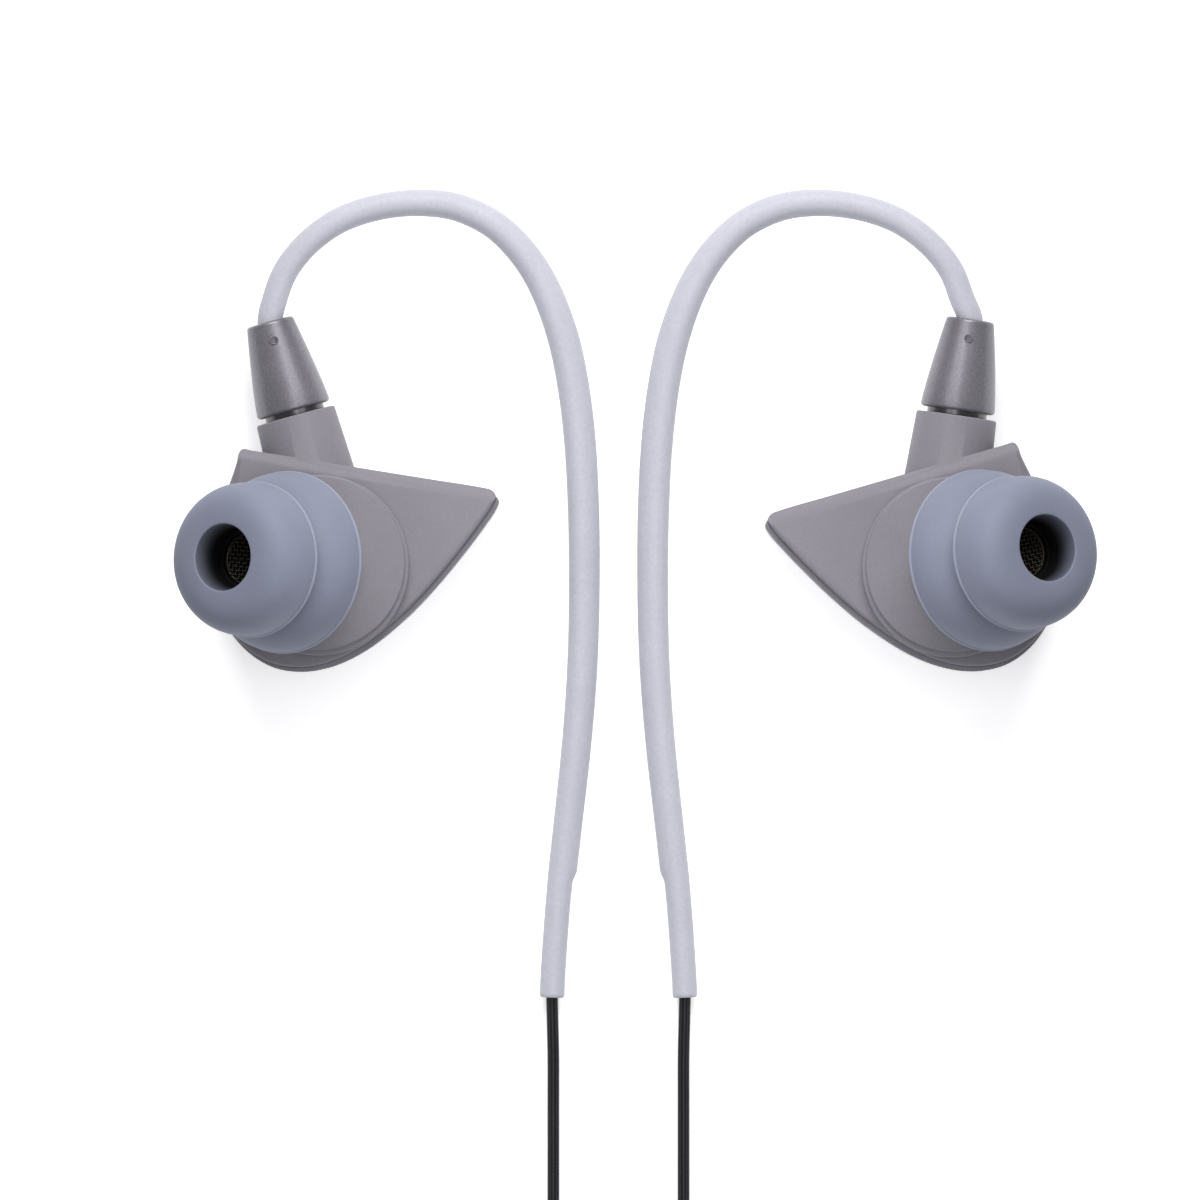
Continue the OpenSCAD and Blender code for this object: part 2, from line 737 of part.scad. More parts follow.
module chin_slider() {
    color("dimgray") on_cable(slider_y, slider_l) difference() {
        linear_extrude(height = slider_l) oval(slider_w, slider_h);
        for (k = [-1, 1])
            translate([k * lead_gap, 0, -1]) cylinder(h = slider_l + 2, r = slider_bore_r, $fn = 32);
    }
}

module y_splitter() {
    color("dimgray") on_cable(splitter_y, splitter_l)
        linear_extrude(height = splitter_l) oval(splitter_w, splitter_h);
}

// Jack plug, pointing along +X
module on_jack(along) {
    translate(layout_shift + jack_at) rotate([0, 90, 0]) translate([0, 0, along]) children();
}
flange_along = jack_boot_l + jack_housing_l;
first_band_along = flange_along + jack_flange_l + sleeve_l;
jack_ring_along = first_band_along + band_l;
second_band_along = jack_ring_along + ring_l;
jack_tip_along = second_band_along + band_l;

module jack_boot() {
    color("black") on_jack(0)
        cylinder(h = jack_boot_l, r1 = jack_boot_end_r, r2 = jack_boot_r, $fn = 48);
}

module jack_housing() {
    end_r = jack_housing_r - jack_chamfer_r;
    color(dark_metal) on_jack(jack_boot_l) {
        cylinder(h = jack_chamfer_l, r1 = end_r, r2 = jack_housing_r, $fn = 64);
        translate([0, 0, jack_chamfer_l])
            cylinder(h = jack_housing_l - 2 * jack_chamfer_l, r = jack_housing_r, $fn = 64);
        translate([0, 0, jack_housing_l - jack_chamfer_l])
            cylinder(h = jack_chamfer_l, r1 = jack_housing_r, r2 = end_r, $fn = 64);
    }
}

module jack_sleeve() {
    color(gold) on_jack(flange_along) difference() {
        union() {
            cylinder(h = jack_flange_l, r = jack_flange_r, $fn = 48);
            cylinder(h = jack_flange_l + sleeve_l, r = jack_r, $fn = 48);
        }
        translate([0, 0, -1]) cylinder(h = sleeve_l + 3, r = jack_core_r, $fn = 32);
    }
}

module jack_insulators() {
    color("black") {
        on_jack(first_band_along) pipe(jack_r, jack_core_r, band_l);
        on_jack(second_band_along) pipe(jack_r, jack_core_r, band_l);
    }
}

module jack_ring() {
    color(gold) on_jack(jack_ring_along) pipe(jack_r, jack_core_r, ring_l);
}

module jack_tip() {
    color(gold) on_jack(0) {
        translate([0, 0, flange_along])
            cylinder(h = jack_tip_along - flange_along, r = jack_core_r, $fn = 32);
        translate([0, 0, jack_tip_along]) rotate_extrude($fn = 48) polygon(tip_outline);
    }
}

outer_shell(-1);  // left_outer_shell
inner_shell(-1);  // left_inner_shell
nozzle(-1);  // left_nozzle
nozzle_mesh(-1);  // left_nozzle_mesh
ear_tip(-1);  // left_ear_tip
driver_frame(-1);  // left_driver_frame
diaphragm(-1);  // left_diaphragm
voice_coil(-1);  // left_voice_coil
magnet(-1);  // left_magnet
yoke(-1);  // left_yoke
socket_body(-1);  // left_socket_body
socket_insulator(-1);  // left_socket_insulator
socket_contact(-1);  // left_socket_contact
driver_wires(-1);  // left_driver_wires
snap_ring(-1);  // left_snap_ring
plug_barrel(-1);  // left_plug_barrel
plug_insulator(-1);  // left_plug_insulator
plug_pin(-1);  // left_plug_pin
boot(-1);  // left_boot
ear_guide(-1);  // left_ear_guide
memory_wire(-1);  // left_memory_wire
inner_lead(-1);  // left_inner_lead
free_lead(-1);  // left_lead
lead_coil(-1);  // left_lead_coil
outer_shell(1);  // right_outer_shell
inner_shell(1);  // right_inner_shell
nozzle(1);  // right_nozzle
nozzle_mesh(1);  // right_nozzle_mesh
ear_tip(1);  // right_ear_tip
driver_frame(1);  // right_driver_frame
diaphragm(1);  // right_diaphragm
voice_coil(1);  // right_voice_coil
magnet(1);  // right_magnet
yoke(1);  // right_yoke
socket_body(1);  // right_socket_body
socket_insulator(1);  // right_socket_insulator
socket_contact(1);  // right_socket_contact
driver_wires(1);  // right_driver_wires
snap_ring(1);  // right_snap_ring
plug_barrel(1);  // right_plug_barrel
plug_insulator(1);  // right_plug_insulator
plug_pin(1);  // right_plug_pin
boot(1);  // right_boot
ear_guide(1);  // right_ear_guide
memory_wire(1);  // right_memory_wire
inner_lead(1);  // right_inner_lead
free_lead(1);  // right_lead
lead_coil(1);  // right_lead_coil
chin_slider();
y_splitter();
main_cable();
main_coil();
cable_ties();
jack_boot();
jack_housing();
jack_sleeve();
jack_ring();
jack_tip();
jack_insulators();
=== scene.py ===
import json
import math
import bpy
import bmesh
from mathutils import Matrix, Vector


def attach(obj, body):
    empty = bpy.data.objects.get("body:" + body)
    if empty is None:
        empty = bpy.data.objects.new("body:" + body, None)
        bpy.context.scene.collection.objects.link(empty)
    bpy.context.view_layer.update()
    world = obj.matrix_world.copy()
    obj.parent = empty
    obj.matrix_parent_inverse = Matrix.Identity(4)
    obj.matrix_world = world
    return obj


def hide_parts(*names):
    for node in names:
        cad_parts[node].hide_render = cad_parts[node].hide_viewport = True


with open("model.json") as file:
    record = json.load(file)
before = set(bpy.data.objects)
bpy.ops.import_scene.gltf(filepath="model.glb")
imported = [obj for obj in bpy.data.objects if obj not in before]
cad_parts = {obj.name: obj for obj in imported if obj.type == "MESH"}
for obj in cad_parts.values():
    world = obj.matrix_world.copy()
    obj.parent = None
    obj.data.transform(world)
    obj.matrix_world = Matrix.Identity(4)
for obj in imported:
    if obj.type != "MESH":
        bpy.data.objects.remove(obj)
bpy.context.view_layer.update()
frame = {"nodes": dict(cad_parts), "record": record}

# A pair of over-ear in-ear monitors lying flat on a table.
# Shapes are drawn in millimetres and brought into the frame, which is in metres.
mm = 0.001
layoutShift = Vector((-1.22, -0.46, 0))
scene = bpy.context.scene


# camera, floor and light

def makeCamera():
    look = {"aimX": -2.61, "aimY": -0.46, "height": 900, "planeHeight": 4, "width": 90,
            "sensor": 36, "near": 0.05, "far": 20}
    data = bpy.data.cameras.new("camera")
    data.sensor_width = look["sensor"]
    data.lens = look["sensor"] * (look["height"] - look["planeHeight"]) / look["width"]
    data.clip_start = look["near"]
    data.clip_end = look["far"]
    camera = bpy.data.objects.new("camera", data)
    camera.location = (look["aimX"] * mm, look["aimY"] * mm, look["height"] * mm)
    scene.collection.objects.link(camera)
    scene.camera = camera


def makeLight(name, look):
    data = bpy.data.lights.new(name, "AREA")
    data.shape = "RECTANGLE"
    data.size, data.size_y = look["size"]
    data.energy = look["power"]
    data.color = look["tint"]
    lamp = bpy.data.objects.new(name, data)
    lamp.location = look["place"]
    lamp.rotation_mode = "QUATERNION"
    lamp.rotation_quaternion = (Vector(look["aim"]) - Vector(look["place"])).to_track_quat("-Z", "Y")
    lamp.visible_camera = False
    scene.collection.objects.link(lamp)


def makeStudio():
    # places and sizes in metres
    look = {"sky": (0.95, 0.96, 1.0, 1), "skyStrength": 0.33, "floorReach": 1.5, "floorDrop": 0.00002}
    world = bpy.data.worlds.new("studio")
    world.use_nodes = True
    back = world.node_tree.nodes["Background"]
    back.inputs["Color"].default_value = look["sky"]
    back.inputs["Strength"].default_value = look["skyStrength"]
    scene.world = world
    makeLight("topSoftbox", {"place": (0, 0.52, 0.45), "aim": (0, 0, 0), "size": (0.5, 0.3),
                             "power": 4.6, "tint": (1, 0.99, 0.98)})
    # a strip over the middle of each monitor, so that both sides of it fall away
    for name, x in (("leftStrip", -0.0145), ("rightStrip", 0.0121)):
        makeLight(name, {"place": (x, 0.004, 0.064), "aim": (x, 0.0039, 0), "size": (0.012, 0.13),
                         "power": 0.0175, "tint": (1, 1, 1)})
    scene.view_settings.view_transform = "Standard"
    bm = bmesh.new()
    bmesh.ops.create_grid(bm, x_segments=1, y_segments=1, size=look["floorReach"])
    bmesh.ops.translate(bm, verts=bm.verts, vec=(0, 0, -look["floorDrop"]))
    meshObject("floor", bm, floorFinish())


# small helpers

def meshObject(name, bm, material=None):
    mesh = bpy.data.meshes.new(name)
    bm.to_mesh(mesh)
    bm.free()
    thing = bpy.data.objects.new(name, mesh)
    scene.collection.objects.link(thing)
    if material:
        mesh.materials.append(material)
    return thing


def addMesh(whole, bm):
    # moves one bmesh into another
    part = bpy.data.meshes.new("part")
    bm.to_mesh(part)
    bm.free()
    whole.from_mesh(part)
    bpy.data.meshes.remove(part)


def softenShading(thing, angle):
    # welds doubles, turns faces outwards and keeps only edges past the angle sharp
    weld = 0.002 * mm
    bm = bmesh.new()
    bm.from_mesh(thing.data)
    bmesh.ops.remove_doubles(bm, verts=bm.verts, dist=weld)
    bmesh.ops.dissolve_degenerate(bm, dist=weld, edges=bm.edges)
    bmesh.ops.recalc_face_normals(bm, faces=bm.faces)
    for face in bm.faces:
        face.smooth = True
    for edge in bm.edges:
        edge.smooth = len(edge.link_faces) == 2 and edge.calc_face_angle(0) < math.radians(angle)
    bm.to_mesh(thing.data)
    bm.free()


def joinShape(thing, tool, how):
    # adds the tool to the thing or cuts it away, and uses the tool up
    step = thing.modifiers.new("join", "BOOLEAN")
    step.operation = how
    step.solver = "EXACT"
    step.object = tool
    graph = bpy.context.evaluated_depsgraph_get()
    joined = bpy.data.meshes.new_from_object(thing.evaluated_get(graph))
    thing.modifiers.clear()
    thing.data = joined
    used = tool.data
    bpy.data.objects.remove(tool)
    bpy.data.meshes.remove(used)


def toolShape(bm, matrix=None):
    if matrix:
        toFrame(bm, matrix)
    return meshObject("tool", bm)


def addShape(thing, bm, matrix=None):
    joinShape(thing, toolShape(bm, matrix), "UNION")


def cutShape(thing, bm, matrix=None):
    joinShape(thing, toolShape(bm, matrix), "DIFFERENCE")


def roundRims(bm, rims, size, steps=3, clamp=False):
    bmesh.ops.bevel(bm, geom=rims, offset=size, segments=steps, profile=0.5,
                    affect="EDGES", material=-1, clamp_overlap=clamp)


def barrel(radius, low, high, topRadius=None, steps=64, edge=0, topOnly=False):
    # a cylinder or cone from low to high on Z, with both rims or only the top one rounded
    bm = bmesh.new()
    bmesh.ops.create_cone(bm, cap_ends=True, segments=steps, radius1=radius,
                          radius2=radius if topRadius is None else topRadius, depth=high - low)
    middle = (low + high) / 2
    bmesh.ops.translate(bm, verts=bm.verts, vec=(0, 0, middle))
    if edge:
        rims = [e for e in bm.edges if abs(e.verts[0].co.z - e.verts[1].co.z) < 1e-6]
        if topOnly:
            rims = [e for e in rims if e.verts[0].co.z > middle]
        roundRims(bm, rims, edge)
    return bm


def lathe(profile, steps=96, closed=True):
    # spins (radius, height) points about Z
    bm = bmesh.new()
    dots = [bm.verts.new((r, 0, z)) for r, z in profile]
    pairs = list(zip(dots, dots[1:] + dots[:1] if closed else dots[1:]))
    lines = [bm.edges.new(pair) for pair in pairs]
    bmesh.ops.spin(bm, geom=dots + lines, cent=(0, 0, 0), axis=(0, 0, 1), dvec=(0, 0, 0),
                   angle=math.tau, steps=steps, use_merge=True, use_duplicate=False)
    bmesh.ops.remove_doubles(bm, verts=bm.verts, dist=0.0005)
    bmesh.ops.recalc_face_normals(bm, faces=bm.faces)
    return bm


def arc(middle, across, up, start, end, count):
    # points on an ellipse, angles in degrees
    turns = [math.radians(start + (end - start) * i / count) for i in range(count + 1)]
    return [(middle[0] + across * math.cos(a), middle[1] + up * math.sin(a)) for a in turns]


def ease(f):
    # from 0 to 1 with a soft start and end
    return f * f * (3 - 2 * f)


def toFrame(bm, matrix):
    bmesh.ops.transform(bm, matrix=matrix, verts=bm.verts)
    if matrix.determinant() < 0:
        bmesh.ops.reverse_faces(bm, faces=bm.faces)
    return bm


def vectors(spots):
    return [Vector(spot) for spot in spots]


def smoothRoute(points, parts, closed=False):
    # a centripetal spline through given points
    def at(i):
        if closed:
            return points[i % len(points)]
        if i < 0:
            return 2 * points[0] - points[1]
        if i >= len(points):
            return 2 * points[-1] - points[-2]
        return points[i]

    found = []
    for i in range(len(points) if closed else len(points) - 1):
        p = [at(i - 1), at(i), at(i + 1), at(i + 2)]
        t = [0]
        for j in range(3):
            t.append(t[-1] + max((p[j + 1] - p[j]).length ** 0.5, 0.001))
        for k in range(parts):
            u = t[1] + (t[2] - t[1]) * k / parts
            a = [p[j].lerp(p[j + 1], (u - t[j]) / (t[j + 1] - t[j])) for j in range(3)]
            b = [a[j].lerp(a[j + 1], (u - t[j]) / (t[j + 2] - t[j])) for j in range(2)]
            found.append(b[0].lerp(b[1], (u - t[1]) / (t[2] - t[1])))
    if not closed:
        found.append(points[-1].copy())
    return found


def routeLength(path):
    return sum((b - a).length for a, b in zip(path, path[1:]))


def sweep(path, section):
    # section(i) gives the (aside, up) outline of ring i; the first ring is extruded along
    bm = bmesh.new()
    last = len(path) - 1
    ring = None
    for i, middle in enumerate(path):
        ahead = (path[min(i + 1, last)] - path[max(i - 1, 0)]).normalized()
        aside = ahead.cross(Vector((0, 0, 1))).normalized()
        up = aside.cross(ahead)
        spots = [middle + aside * a + up * b for a, b in section(i)]
        if ring is None:
            ring = [bm.verts.new(s) for s in spots]
            bm.faces.new(ring)
            continue
        edges = [bm.edges.get((ring[k], ring[(k + 1) % len(ring)])) for k in range(len(ring))]
        made = bmesh.ops.extrude_edge_only(bm, edges=edges)
        fresh = {}
        for face in (g for g in made["geom"] if isinstance(g, bmesh.types.BMFace)):
            for edge in face.edges:
                ends = edge.verts
                if (ends[0] in ring) != (ends[1] in ring):
                    old, new = ends if ends[0] in ring else (ends[1], ends[0])
                    fresh[old] = new
        ring = [fresh[v] for v in ring]
        for v, s in zip(ring, spots):
            v.co = s
    bm.faces.new(ring)
    bmesh.ops.recalc_face_normals(bm, faces=bm.faces)
    return bm


def roundSection(radius, sides):
    turns = [math.tau * k / sides for k in range(sides)]
    outline = [(radius * math.cos(a), radius * math.sin(a)) for a in turns]
    return lambda i: outline


# finishes

def newFinish(name):
    material = bpy.data.materials.new(name)
    material.use_nodes = True
    tree = material.node_tree
    return material, tree, tree.nodes["Principled BSDF"]


def addNoise(tree, scale, detail=4, rough=0.5):
    place = tree.nodes.new("ShaderNodeTexCoord")
    noise = tree.nodes.new("ShaderNodeTexNoise")
    noise.inputs["Scale"].default_value = scale
    noise.inputs["Detail"].default_value = detail
    noise.inputs["Roughness"].default_value = rough
    tree.links.new(place.outputs["Object"], noise.inputs["Vector"])
    return noise


def addRamp(tree, source, low, high):
    # low and high are (position, colour)
    ramp = tree.nodes.new("ShaderNodeValToRGB")
    for stop, (position, colour) in zip(ramp.color_ramp.elements, (low, high)):
        stop.position = position
        stop.color = colour
    tree.links.new(source, ramp.inputs["Fac"])
    return ramp


def addBump(tree, source, strength, distance, under=None):
    bump = tree.nodes.new("ShaderNodeBump")
    bump.inputs["Strength"].default_value = strength
    bump.inputs["Distance"].default_value = distance
    tree.links.new(source, bump.inputs["Height"])
    if under:
        tree.links.new(under.outputs["Normal"], bump.inputs["Normal"])
    return bump


def shade(colour, amount):
    return tuple(min(1, c * amount) for c in colour[:3]) + (1,)


def grey(value):
    return (value, value, value, 1)


def roughRange(tree, source, skin, middle, spread):
    rough = tree.nodes.new("ShaderNodeMapRange")
    rough.inputs["To Min"].default_value = middle - spread
    rough.inputs["To Max"].default_value = middle + spread
    tree.links.new(source, rough.inputs["Value"])
    tree.links.new(rough.outputs["Result"], skin.inputs["Roughness"])


def addMix(tree, base, how="MIX"):
    mix = tree.nodes.new("ShaderNodeMix")
    mix.data_type = "RGBA"
    mix.blend_type = how
    tree.links.new(base, mix.inputs["A"])
    return mix


mouldedBase = {
    "driftScale": 260, "drift": 0.04, "fleck": (7000, 0.03), "waveScale": 700, "wave": 0.12,
    "waveDepth": 0.00002, "grainScale": 9000, "grain": 0.25, "grainDepth": 0.00001,
    "roughSpread": 0.05, "blends": {}, "underTint": (1.0, 0.9, 1.0),
}
turnedBase = {
    "stretch": (1, 14, 1), "streakScale": 1500, "metal": 1, "darkest": 0.88, "lightest": 1.08,
    "roughSpread": 0.07, "bump": 0.2, "bumpDepth": 0.000006,
}


def mouldedFinish(name, changes):
    # moulded or painted surface: slow colour drift, flecks, fine grain in bump and roughness
    look = {**mouldedBase, **changes}
    material, tree, skin = newFinish(name)
    drift = addNoise(tree, look["driftScale"], 3)
    tone = addRamp(tree, drift.outputs["Fac"], (0.3, shade(look["colour"], 1 - look["drift"])),
                   (0.7, shade(look["colour"], 1 + look["drift"])))
    fleckScale, fleckAmount = look["fleck"]
    fleck = addNoise(tree, fleckScale, 2, 0.7)
    dots = addRamp(tree, fleck.outputs["Fac"], (0.32, grey(1 - fleckAmount)), (0.68, grey(1 + fleckAmount)))
    mixed = addMix(tree, tone.outputs["Color"], "MULTIPLY")
    mixed.inputs["Factor"].default_value = 1
    tree.links.new(dots.outputs["Color"], mixed.inputs["B"])
    last = mixed.outputs["Result"]
    # each blend mixes the colour towards a set colour by a mesh attribute; used for painted shade and painted
    # light
    for attribute, towards in look["blends"].items():
        amount = tree.nodes.new("ShaderNodeAttribute")
        amount.attribute_name = attribute
        blend = addMix(tree, last)
        blend.inputs["B"].default_value = towards + (1,)
        tree.links.new(amount.outputs["Fac"], blend.inputs["Factor"])
        last = blend.outputs["Result"]
    tree.links.new(last, skin.inputs["Base Color"])
    grain = addNoise(tree, look["grainScale"], 2, 0.6)
    roughRange(tree, grain.outputs["Fac"], skin, look["rough"], look["roughSpread"])
    wave = addNoise(tree, look["waveScale"], 2)
    slow = addBump(tree, wave.outputs["Fac"], look["wave"], look["waveDepth"])
    fine = addBump(tree, grain.outputs["Fac"], look["grain"], look["grainDepth"], slow)
    tree.links.new(fine.outputs["Normal"], skin.inputs["Normal"])
    for socket, key in (("Metallic", "metal"), ("Specular IOR Level", "specular"),
                        ("Coat Weight", "coat"), ("Sheen Weight", "sheen"),
                        ("Sheen Roughness", "sheenRough"), ("Subsurface Weight", "under"),
                        ("Subsurface Scale", "underScale")):
        if key in look:
            skin.inputs[socket].default_value = look[key]
    if "under" in look:
        skin.inputs["Subsurface Radius"].default_value = look["underTint"]
    return material


def turnedFinish(name, changes):
    # turned or drawn metal: fine streaks across one direction
    look = {**turnedBase, **changes}
    material, tree, skin = newFinish(name)
    place = tree.nodes.new("ShaderNodeTexCoord")
    stretch = tree.nodes.new("ShaderNodeMapping")
    stretch.inputs["Scale"].default_value = look["stretch"]
    streak = tree.nodes.new("ShaderNodeTexNoise")
    streak.inputs["Scale"].default_value = look["streakScale"]
    streak.inputs["Detail"].default_value = 4
    tree.links.new(place.outputs["Object"], stretch.inputs["Vector"])
    tree.links.new(stretch.outputs["Vector"], streak.inputs["Vector"])
    tone = addRamp(tree, streak.outputs["Fac"], (0.3, shade(look["colour"], look["darkest"])),
                   (0.7, shade(look["colour"], look["lightest"])))
    tree.links.new(tone.outputs["Color"], skin.inputs["Base Color"])
    roughRange(tree, streak.outputs["Fac"], skin, look["rough"], look["roughSpread"])
    bump = addBump(tree, streak.outputs["Fac"], look["bump"], look["bumpDepth"])
    tree.links.new(bump.outputs["Normal"], skin.inputs["Normal"])
    skin.inputs["Metallic"].default_value = look["metal"]
    return material


def strapFinish():
    # woven hook-and-loop strap
    look = {"dark": (0.012, 0.012, 0.014, 1), "light": (0.06, 0.06, 0.066, 1), "weaveScale": 800,
            "uneven": 0.6, "bump": 0.5, "bumpDepth": 0.00006, "rough": 0.85, "sheen": 0.3}
    material, tree, skin = newFinish("strapWeave")
    place = tree.nodes.new("ShaderNodeTexCoord")
    weave = tree.nodes.new("ShaderNodeMath")
    weave.operation = "MULTIPLY"
    for i, direction in enumerate(("X", "Y")):
        wave = tree.nodes.new("ShaderNodeTexWave")
        wave.bands_direction = direction
        wave.inputs["Scale"].default_value = look["weaveScale"]
        wave.inputs["Distortion"].default_value = look["uneven"]
        tree.links.new(place.outputs["Object"], wave.inputs["Vector"])
        tree.links.new(wave.outputs["Fac"], weave.inputs[i])
    tone = addRamp(tree, weave.outputs["Value"], (0.1, look["dark"]), (0.8, look["light"]))
    tree.links.new(tone.outputs["Color"], skin.inputs["Base Color"])
    bump = addBump(tree, weave.outputs["Value"], look["bump"], look["bumpDepth"])
    tree.links.new(bump.outputs["Normal"], skin.inputs["Normal"])
    skin.inputs["Roughness"].default_value = look["rough"]
    skin.inputs["Sheen Weight"].default_value = look["sheen"]
    return material


def floorFinish():
    look = {"dark": 0.90, "light": 0.93, "scale": 60, "rough": 0.9, "specular": 0.1, "glow": 0.42}
    material, tree, skin = newFinish("paleFloor")
    grain = addNoise(tree, look["scale"], 3)
    tone = addRamp(tree, grain.outputs["Fac"], (0.3, grey(look["dark"])), (0.7, grey(look["light"])))
    tree.links.new(tone.outputs["Color"], skin.inputs["Base Color"])
    skin.inputs["Roughness"].default_value = look["rough"]
    skin.inputs["Specular IOR Level"].default_value = look["specular"]
    skin.inputs["Emission Color"].default_value = grey(1)
    skin.inputs["Emission Strength"].default_value = look["glow"]
    return material


makeCamera()
makeStudio()
print("made camera, light and floor")

finishes = {
    "shell": mouldedFinish("mattShellPlastic", {
        "colour": (0.184, 0.175, 0.201), "rough": 0.58, "drift": 0.03, "grain": 0.35,
        "fleck": (6500, 0.05), "specular": 0.30, "sheen": 0.06, "sheenRough": 0.4}),
    "silicone": mouldedFinish("softTipSilicone", {
        "colour": (0.168, 0.182, 0.242), "rough": 0.6, "drift": 0.03, "grainScale": 5000,
        "grain": 0.12, "specular": 0.25,
        # painted shade towards near black deep in the bore, painted light towards a paler blue-grey on the
        # flange rims
        "blends": {"paintedBoreShade": (0.001, 0.001, 0.001), "paintedRimLight": (0.36, 0.38, 0.47)}}),
    "sleeve": mouldedFinish("pearlGuideSleeve", {
        "colour": (0.425, 0.43, 0.485), "rough": 0.5, "drift": 0.02, "fleck": (3500, 0.045),
        "grainScale": 6000, "grain": 0.12, "specular": 0.35}),
    "boot": mouldedFinish("satinBootPaint", {
        "colour": (0.168, 0.160, 0.184), "rough": 0.35, "drift": 0.08, "grainScale": 9000,
        "grain": 0.8, "fleck": (6000, 0.13), "metal": 0.42, "specular": 0.5}),
    "lead": mouldedFinish("blackLeadSheath", {
        "colour": (0.0055, 0.0055, 0.007), "rough": 0.34, "drift": 0.1, "grainScale": 5000,
        "grain": 0.5, "specular": 0.35}),
    "cable": mouldedFinish("blackCableSheath", {
        "colour": (0.016, 0.016, 0.017), "rough": 0.45, "drift": 0.1, "grainScale": 5000,
        "grain": 0.3, "specular": 0.45}),
    "black": mouldedFinish("blackMoulding", {
        "colour": (0.022, 0.022, 0.023), "rough": 0.5, "drift": 0.08, "grain": 0.4}),
    "white": mouldedFinish("whiteInsulator", {
        "colour": (0.78, 0.77, 0.73), "rough": 0.45, "drift": 0.03, "grain": 0.2,
        "under": 0.2, "underScale": 0.0004}),
    "film": mouldedFinish("driverFilm", {
        "colour": (0.66, 0.66, 0.68), "rough": 0.22, "drift": 0.05, "grain": 0.1, "coat": 0.4}),
    "darkMetal": turnedFinish("darkPlugMetal", {"colour": (0.11, 0.105, 0.11), "rough": 0.3}),
    "housing": turnedFinish("jackHousingMetal", {
        "colour": (0.10, 0.10, 0.105), "rough": 0.34, "stretch": (1, 20, 1)}),
    "gold": turnedFinish("goldPlate", {"colour": (0.85, 0.62, 0.27), "rough": 0.2}),
    "steel": turnedFinish("springSteel", {"colour": (0.50, 0.50, 0.52), "rough": 0.28}),
    "nickel": turnedFinish("nickelPlate", {"colour": (0.46, 0.46, 0.47), "rough": 0.25}),
    "nozzle": turnedFinish("blackenedNozzle", {"colour": (0.035, 0.034, 0.036), "rough": 0.5}),
    "copper": turnedFinish("enamelledCopper", {"colour": (0.50, 0.19, 0.08), "rough": 0.3}),
    "wire": turnedFinish("blackenedMeshWire", {
        "colour": (0.050, 0.042, 0.032), "rough": 0.4, "metal": 0.5, "streakScale": 6000}),
    "strap": strapFinish(),
}
print("made", len(finishes), "finishes")


# frames of the two earpieces, from the record's joints

earLook = {"plugHeight": 4.0, "housingAt": (-1.2, -11.3, 8.7), "nozzleHeading": 160, "nozzleTilt": 33}
housingAt = Vector(earLook["housingAt"])
onPlug = Matrix.Translation((0, 0, earLook["plugHeight"])) @ Matrix.Rotation(math.radians(-90), 4, "X")
onNozzle = (Matrix.Translation(housingAt)
            @ Matrix.Rotation(math.radians(earLook["nozzleHeading"]), 4, "Z")
            @ Matrix.Rotation(math.radians(earLook["nozzleTilt"]), 4, "Y"))
inLayout = Matrix.Scale(mm, 4) @ Matrix.Translation(layoutShift)


def earMatrix(side):
    # millimetres on an earpiece, +Y towards the boot, into the frame in metres
    joints = frame["record"]["behaviour"]["joints"]
    swivel = next(j for j in joints if j["name"] == side + "_swivel")
    up = Vector((0, 0, 1))
    along = Vector(swivel["axis"]).normalized()
    across = along.cross(up) * (1 if side == "left" else -1)
    turn = Matrix((across, along, up)).transposed().to_4x4()
    foot = Vector(swivel["pos_m"])
    foot.z = 0
    return Matrix.Translation(foot) @ turn @ Matrix.Scale(mm, 4)


def finishPiece(thing, finish, body, slot, *nodes, angle=38):
    if angle:
        softenShading(thing, angle)
    thing.data.materials.clear()
    thing.data.materials.append(finishes[finish])
    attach(thing, body)
    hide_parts(*nodes)
    return thing


# cords first: free leads, main cable

cord = {
    "leadWidth": 0.9, "leadHeight": 0.62, "mainWidth": 2.0, "lift": 0.4, "layers": 4,
    "leadCoil": (-10.35, -54), "leadCoilRadius": 5.0, "leadColumns": 2,
    "mainCoil": (-12.5, -104), "mainCoilRadius": 10.5, "mainColumns": 3,
    "stepsPerTurn": 40, "shiftPart": 0.16, "leadSides": 28, "mainSides": 16,
    "strandGroove": 0.62, "strandGrooveWidth": 0.26, "strandSpread": 2.2,
}
leadOut = [(-5, -29.9, 1), (-4.95, -32, 0.95), (-4.9, -34.5, 0.75), (-4.9, -37, 0.6),
           (-4.9, -39.5, 0.55), (-4.9, -42, 0.55), (-4.9, -44.5, 0.6), (-4.9, -47, 0.7),
           (-4.9, -49.5, 0.85)]
leadBack = [(-4.8, -57.6, 3.1), (-4.3, -60.2, 2.2), (-3.3, -62.7, 1.6), (-2, -65, 1.4),
            (-1.05, -67, 1.4), (-0.8, -69, 1.4), (-0.8, -72, 1.4), (-0.8, -75, 1.4),
            (-0.8, -78, 1.4)]
mainOut = [(0, -90, 1.4), (0, -94, 1.4), (0, -98, 1.4)]
mainBack = [(0.3, -107, 6.9), (1.5, -110.6, 5.6), (4.2, -113.4, 4.3), (8, -114.4, 3.6),
            (11, -114.5, 3.5)]


